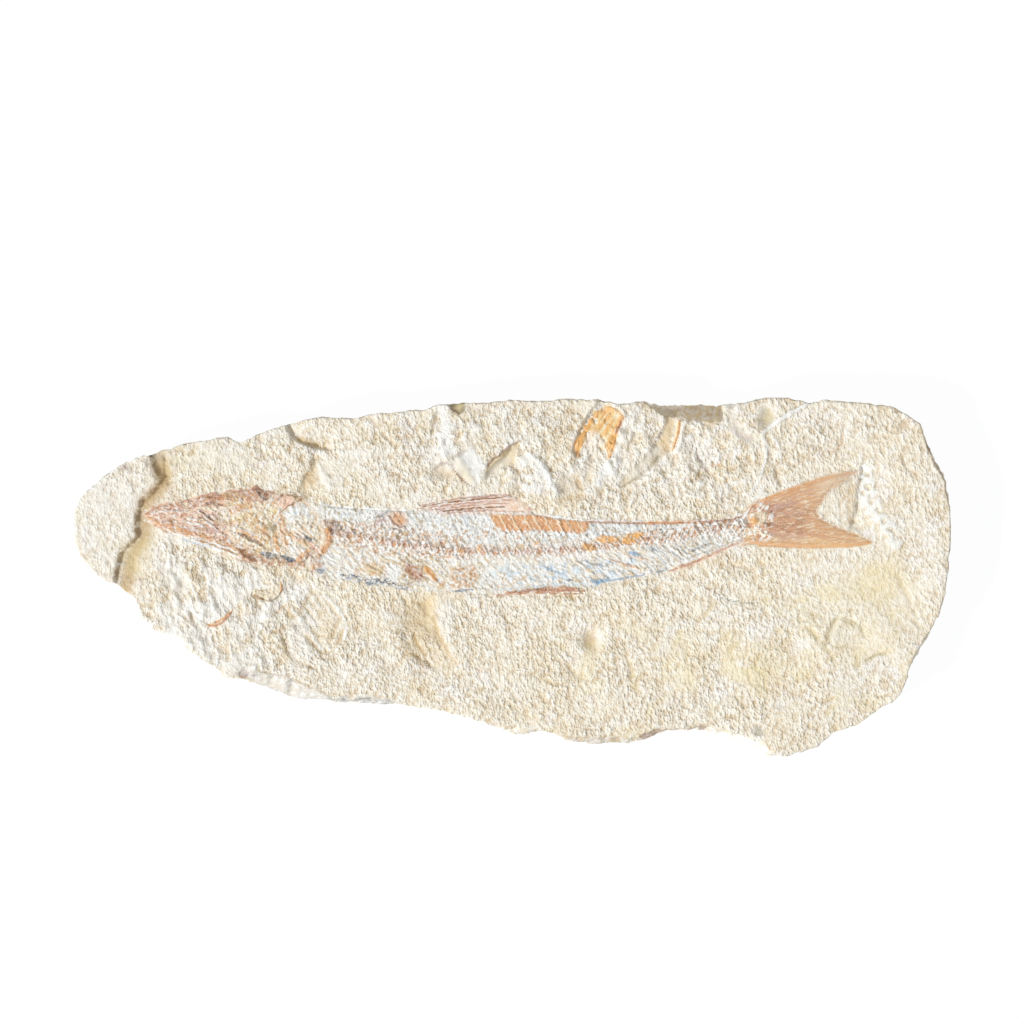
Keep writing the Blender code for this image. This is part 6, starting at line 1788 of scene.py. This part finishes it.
TAIL_AREA = Patch(((54.5, 6.0), (90.0, 6.0), (90.0, 28.0), (58.0, 22.0), (56.5, 14.0)), 1.5)
SCRAP_LAYERS = layered(
    (Patch(((13, 31), (18.6, 32.5), (23, 31), (29, 26), (29, 44), (13, 44)), 3), YELLOW, 0.9, 0, 0.5),
    (Flecks(0.8, 331, 0.5, None, 6, 58), GOLD, 0.7, 0.1),
    (Flecks(0.7, 333, 0.34, None, 6, 60), CREAM, 0.85, 0.12),
    (Flecks(0.7, 335, 0.2, None, 4.5, 58), ORANGE, 0.45, -0.06),
    (Flecks(0.6, 337, 0.16, None, 5, 60), TAN, 0.8, -0.12),
    (Patch(((17.4, 31.4), (18, 33.6), (20, 35), (22, 32.6), (21.6, 31)), 1.8), WHITE, 0.7),
    (Line(1.6, ((20.4, 39.8), (18.4, 37), (16.4, 33.6), (15.2, 31), (15.9, 29))), GOLD, 0.6, 0.1),
    (Line(1, ((26.7, 38.6), (25.8, 36.8), (24.8, 34.6))), RUST, 0.6, 0.1),
    (Line(0.8, ((26.5, 38.2), (25.4, 36), (24.6, 34.6))), RUST, 0.6),
    (Line(1.4, ((24.6, 34), (24, 31.5), (23, 28.6))), GOLD, 0.6, 0.1),
    (Line(0.9, ((15.4, 30.4), (15.8, 29.4), (16.4, 28.8))), BROWN, 0.5),
    (Spot(24.9, 38.8, (0.6, 1.1), -30), CREAM, 0.8, -0.1),
)
SPLINTER_LAYERS = layered(
    (Patch(((37, 29), (41.5, 29), (41.5, 39), (37, 39))), CREAM, 0.8),
    (Line(0.9, ((40.3, 37.8), (39.7, 34), (38.4, 30.6))), YELLOW, 0.9, 0.1),
    (Line(0.5, ((40.2, 37.8), (39.6, 34), (38.5, 30.8))), ORANGE, 0.9, 0.1),
)
SLIVER_LAYERS = layered(
    (Patch(((-75, -13), (-75, -10), (-66, -6), (-66, -12))), ORANGE, 0.9),
    (Line(0.5, ((-73.2, -11.2), (-71, -11.2), (-69.2, -10))), CREAM, 0.7, 0.1),
    (Line(0.5, ((-73.5, -11.5), (-71.8, -11.7), (-70, -11), (-68.8, -9.8))), RUST, 0.6, 0.1),
)
SHELL_LAYERS = layered(
    (Patch(((-63, -6.5), (-55, -6.5), (-55, 0), (-63, 0))), SAND, 0.4),
    (Line(0.6, ((-62.4, -4.6), (-60.6, -5.6), (-58.4, -5.9), (-56.5, -4.9), (-55.6, -3))), OLIVE, 0.7,
     0.15),
    (Line(0.8, ((-62.6, -4.2), (-61.4, -4.9), (-60, -5.5))), BROWN, 0.7),
    (Line(0.6, ((-55.9, -0.9), (-55.6, -2.4), (-55.7, -4.2))), ORANGE, 0.9, 0.12),
    (Line(0.8, ((-61.4, -4.2), (-59, -4.6), (-57, -3.6))), CREAM, 0.7, 0.1),
    (Hatch(1, 80, 351, Spot(-58.5, -3.6, (3, 2)), 0.3, 0.2), TAN, 0.5),
)


RAY_HUB = (50.0, 13.0)
TAIL_RAYS = 44


def tail_rays() -> tuple[Layer, ...]:
    """The rays of the tail, which fan out from the end of the backbone."""
    layers = [
        Layer(TAIL_AREA, APRICOT, 0.92, 0, 0.85),
        Layer(Patch(((70, 5), (92, 5), (92, 13), (74, 14)), 5), YELLOW, 0.35),
        Layer(Flecks(1.6, 321, 0.5, Patch(((58, 18.5), (66, 18), (68, 13), (66, 9), (58, 8.5)), 3), 2.5,
            8), MAUVE, 0.5),
    ]
    for number in range(TAIL_RAYS):
        share = (number + 0.5) / TAIL_RAYS
        end = (88.0 if share < 0.5 else 84.5, 6.4 + share * 20.2)
        middle = (RAY_HUB[0] + 17.0, RAY_HUB[1] + (end[1] - RAY_HUB[1]) * (0.36 + 0.28 * share))
        pigment = (RUST, ORANGE, MAUVE)[number % 3]
        start = (57.0, RAY_HUB[1] + (middle[1] - RAY_HUB[1]) * 0.4)
        layers.append(Layer(Line(0.28, softened((start, middle, end)), 0.8), pigment, 0.6, 0.09))
    return tuple(layers)


FRONT_TAIL = Patch(((53.5, 8.5), (53.5, 15.0), (59.0, 18.5), (63.0, 17.0), (62.0, 9.0)), 1.5)
TAIL_LAYERS = layered(
    (Flecks(0.7, 329, 0.5, Patch(((60, 17.5), (66, 18.5), (72, 17), (70, 10.5), (61, 9.5)), 2), 3, 8),
     BROWN, 0.35, -0.06),
    (Flecks(0.32, 323, 0.3, TAIL_AREA, 7, 12), CREAM, 0.7, 0.05),
    (Patch(((74, 20), (84, 23), (86, 28), (72, 26)), 6), CREAM, 0.45),
    (Line(1.6, ((56, 16.4), (60, 18.4), (68, 21.5), (76, 24.2), (83.5, 25.6))), ORANGE, 0.5, 0.1),
    (Line(1.5, ((56, 9), (60, 8), (70, 7.4), (82, 7.7), (87, 8.4))), ORANGE, 0.5, 0.1),
    (Line(1.3, ((60.5, 15.8), (64, 17), (68, 18))), MAUVE, 0.6, -0.08),
    (Line(1, ((61, 14.4), (65, 15.2), (70, 15.6))), MAUVE, 0.4),
    (Line(1.6, ((61, 10.8), (66, 10), (71, 9.6))), MAUVE, 0.35),
    (Flecks(0.8, 325, 0.4, FRONT_TAIL, 2, 50), RUST, 0.65, 0.1),
    (Flecks(0.7, 327, 0.45, FRONT_TAIL, 2.2, 60), WHITE, 0.95, 0.16),
    (Patch(((58, 15.6), (61, 16), (61.6, 13.4), (59, 12.2), (57.6, 13.4)), 0.8), CREAM, 0.8, 0.1),
    (Spot(58.2, 13.6, (1, 1)), GOLD, 0.9, 0.45),
    (Spot(62, 15.7, (0.7, 0.5)), BROWN, 0.8, -0.1),
    (Line(0.9, ((60.2, 13.2), (61.6, 12.7), (62.8, 12.8))), BROWN, 0.7, -0.1),
    (Line(0.5, ((57, 10.6), (60, 10.6), (63, 9.6))), CREAM, 0.9, 0.12),
    (Line(0.5, ((56.4, 11.8), (59, 11.4), (61.4, 10))), CREAM, 0.9, 0.12),
    (Patch(((78.5, 23.2), (84, 25.4), (82, 26.2), (77, 24.6)), 1.6), ASH, 0.25),
)


FISH_LAYERS = (
    TRUNK_LAYERS + SKULL_LAYERS + JAW_LAYERS + DORSAL_LAYERS + PELVIC_LAYERS + ANAL_LAYERS
    + tail_rays() + TAIL_LAYERS
)


def fish_plate(name: str, slot: str, **sizes: Any) -> BonePlate:
    """A plate that shares the fish's outline and layers, so that no seam shows."""
    return BonePlate(name=name, slot=slot, layers=FISH_LAYERS, outline=FISH_OUTLINE, **sizes)


def loose_plate(name: str, slot: str, **sizes: Any) -> BonePlate:
    """A scrap that lies by itself, with its own rim as its outline."""
    plate = BonePlate(name=name, slot=slot, **sizes)
    belly, tail, back, snout = plate.edges()
    plate.outline = belly[:-1] + tail[:-1] + back[:0:-1] + snout[:0:-1]
    return plate


def plates() -> list[BonePlate]:
    """The plates, from the snout to the tail, then the loose scraps."""
    return [
        fish_plate(
            "skull", "red_bone", cells=(260, 110), crown=0.165, slope=1.3, fade=1.05, chips=0.33,
            belly=((-89.2, 13.6), (-84, 12), (-78, 10.2), (-70, 7.8), (-66, 6.2), (-62, 3.4), (-60.6, 2.2),
                (-53.4, 1.4), (-48, 0.6)),
            tail=((-45.8, 5), (-45.2, 9), (-45, 13)),
            back=((-89.2, 16.2), (-84, 18.3), (-78.9, 19.1), (-73.2, 20.5), (-67.6, 21.2), (-61.8, 22.5),
                (-57, 20.9), (-51, 19.8), (-45.2, 17.9)),
            snout=((-89.7, 14.9),),
        ),
        fish_plate(
            "lower_jaw", "orange_bone", cells=(150, 26), crown=0.18, slope=1.2, fade=1.0, chips=0.08,
            belly=((-86.8, 12.2), (-81.7, 9.7), (-74.7, 6.8), (-67.6, 4), (-60.4, 2)),
            tail=((-60.2, 3.9),),
            back=((-87, 13.6), (-82, 12.7), (-78, 11.6), (-70, 8.9), (-66, 7.7), (-61, 6)),
        ),
        fish_plate(
            "trunk", "white_bone", cells=(560, 100), crown=0.15, slope=1.3, fade=1.05, chips=0.33,
            sunk=0.26,
            belly=((-48.6, 0.5), (-41, -1.2), (-33, -2.3), (-27.2, -3.5), (-17.6, -4.1), (-7, -4.1),
                (0, -3.7), (8, -2.8), (16, -2.9), (20, -2.8), (27, -1.7), (31, -0.6), (36, 0.5), (40, 2.3),
                (46, 4.6), (51, 6.9), (55.6, 8.8)),
            tail=((57.4, 12),),
            back=((-46.8, 18.2), (-41.7, 17.6), (-32.1, 16.9), (-24.5, 16.7), (-16, 16.1), (-5.5, 15.9),
                (5, 15.8), (11.3, 15.2), (21, 14.4), (33, 14.2), (45.1, 14.4), (55.6, 15.2)),
            snout=((-47.1, 5), (-46.8, 9), (-46.4, 13)),
        ),
        fish_plate(
            "dorsal_fin", "red_bone", cells=(160, 34), crown=0.12, slope=1.4, fade=1.4,
            belly=((-24.8, 16.2), (-16.3, 14.8), (-5.5, 14.6), (6, 14.7)),
            tail=((5.6, 16.8),),
            back=((-24.6, 17.7), (-16, 19.4), (-11.3, 20.2), (-2.8, 21), (2.5, 19.5)),
        ),
        fish_plate(
            "pelvic_fin", "red_bone", cells=(130, 20), crown=0.12, slope=1.0, fade=1.4,
            belly=((-5.6, -5.4), (0, -5.4), (8, -5.2), (18.8, -5.3)),
            back=((-5.8, -3.5), (0, -2.8), (4, -2.1), (8, -1.6), (16, -1.8), (19.6, -2.8)),
        ),
        fish_plate(
            "anal_fin", "red_bone", cells=(78, 11), crown=0.14, slope=1.4, fade=1.0,
            belly=((36.2, 0.1), (42, 1.5), (48, 3.7), (55.6, 7.2)),
            back=((36, 2.4), (40, 3.8), (46, 6.1), (51, 8.4), (55, 9.8)),
        ),
        fish_plate(
            "tail_fin", "orange_bone", cells=(200, 130), crown=0.14, slope=1.2, fade=0.5,
            belly=((54, 8.4), (57, 7.5), (60, 6.9), (70, 6.4), (82, 6.7), (88.2, 8)),
            tail=((84.4, 10.4), (78, 12.7), (73.2, 15), (75.7, 19), (79.4, 22.2)),
            back=((53.6, 14.9), (56, 17.5), (60, 19.5), (68, 22.6), (76, 25.3), (84.6, 26.1)),
            snout=((54.4, 12),),
        ),
        loose_plate(
            "fin_scrap", "orange_bone", layers=SCRAP_LAYERS, cells=(70, 76), crown=0.24, slope=0.8,
            fade=0.9, grained=0.4, ragged=0.3,
            belly=((15.2, 28.4), (16.8, 28.6), (17.4, 31.2), (19, 31.8), (21.6, 31.6), (22.2, 28.5),
                (23.6, 27.8)),
            tail=((24.6, 31), (25.6, 35)),
            back=((19.6, 40.1), (21.6, 41.5), (24.6, 41.4), (27.3, 38.6)),
            snout=((14.2, 31.2), (15.6, 34.1), (17.7, 37.1)),
        ),
        loose_plate(
            "bone_splinter", "orange_bone", layers=SPLINTER_LAYERS, cells=(14, 50), crown=0.2, slope=0.4,
            fade=0.4, grained=0.4, ragged=0.1,
            belly=((37.9, 30), (38.5, 29.9)),
            tail=((40.1, 34),),
            back=((39.5, 38), (40.8, 37.8)),
            snout=((38.9, 34),),
        ),
        loose_plate(
            "bone_sliver", "orange_bone", layers=SLIVER_LAYERS, cells=(44, 12), crown=0.2, slope=0.4,
            fade=0.3, grained=0.3, ragged=0.1,
            belly=((-73.8, -12), (-71.8, -12.1), (-69.8, -11.4), (-68.3, -9.8), (-67, -7.4)),
            back=((-73.8, -11.3), (-72, -10.7), (-70.4, -10), (-68.9, -8.9), (-66.8, -6.9)),
        ),
        loose_plate(
            "shell", "horn_shell", layers=SHELL_LAYERS, cells=(50, 30), crown=0.16, slope=0.5, fade=0.4,
            grained=0.2, roughness=0.4, sheen=0.5, ragged=0.1,
            belly=((-62.8, -4.4), (-60.5, -5.9), (-58.5, -6.2), (-56.4, -5.2), (-55.3, -3.2)),
            tail=((-55.2, -2),),
            back=((-62.4, -2.6), (-60.4, -2.9), (-58.6, -2.5), (-57.2, -1.5), (-55.8, -0.5)),
        ),
    ]


# The studio


@dataclass
class Studio:
    """A pale floor, one soft key light, fill from all round, and a camera that looks straight down."""

    frame_width: float = 246.9
    centre: tuple[float, float] = (-0.2, 15.7)
    lens: float = 150.0
    film: float = 36.0
    key_elevation: float = 38.0
    key_azimuth: float = 207.0
    key_strength: float = 2.52
    key_softness: float = 4.0
    light_colour: tuple[float, ...] = (0.99, 1.0, 1.0)
    fill: float = 0.56
    fill_colour: tuple[float, ...] = (1.0, 0.95, 0.865, 1.0)
    floor_size: float = 3.0
    floor_glow: float = 0.94
    floor_grey: float = 0.08
    focus_depth: float = 1.5

    def build(self) -> None:
        """Makes the floor, the lights and the camera."""
        self.floor()
        self.lights()
        self.camera()

    def floor(self) -> None:
        """A plain floor that is nearly white by itself, so that shadows stay faint."""
        mesh = bmesh.new()
        bmesh.ops.create_grid(mesh, x_segments=1, y_segments=1, size=0.5 * self.floor_size)
        data = bpy.data.meshes.new("floor")
        mesh.to_mesh(data)
        mesh.free()
        board = Board("floor_paper")
        board.shader.inputs["Base Color"].default_value = (*(self.floor_grey,) * 3, 1.0)
        board.shader.inputs["Roughness"].default_value = 1.0
        board.shader.inputs["Specular IOR Level"].default_value = 0.0
        board.shader.inputs["Emission Color"].default_value = (*self.light_colour, 1.0)
        board.shader.inputs["Emission Strength"].default_value = self.floor_glow
        data.materials.append(board.material)
        item = put_in("floor", data)

    def lights(self) -> None:
        """The key light and the fill."""
        key = bpy.data.lights.new("key", "SUN")
        key.energy = self.key_strength
        key.angle = math.radians(self.key_softness)
        key.color = self.light_colour
        item = put_in("key", key)
        turn = math.radians(self.key_azimuth + 90.0)
        item.rotation_euler = (math.radians(90.0 - self.key_elevation), 0.0, turn)
        world = bpy.data.worlds.new("fill")
        bpy.context.scene.world = world
        world.use_nodes = True
        background = world.node_tree.nodes["Background"]
        background.inputs["Color"].default_value = self.fill_colour
        background.inputs["Strength"].default_value = self.fill

    def camera(self) -> None:
        """A camera over the slab, with its frame as wide as it should be at the fossil face."""
        lens = bpy.data.cameras.new("camera")
        lens.lens = self.lens
        lens.sensor_width = self.film
        lens.clip_end = 10.0
        item = put_in("camera", lens)
        distance = self.frame_width * self.lens / self.film
        item.location = Vector((*self.centre, BED_HEIGHT - self.focus_depth + distance)) * MM
        bpy.context.scene.camera = item
        bpy.context.scene.view_settings.view_transform = "Standard"


def main() -> None:
    """Builds the slab, the fish and the studio."""
    logging.basicConfig(level=logging.INFO, format="%(name)s: %(message)s", force=True)
    stone = StoneLook()
    bed = Bed()
    fish = plates()
    Slab(plates=fish).build(bed, stone)
    for plate in fish:
        plate.build(bed, stone)
    Studio().build()


if __name__ == "__main__":
    main()
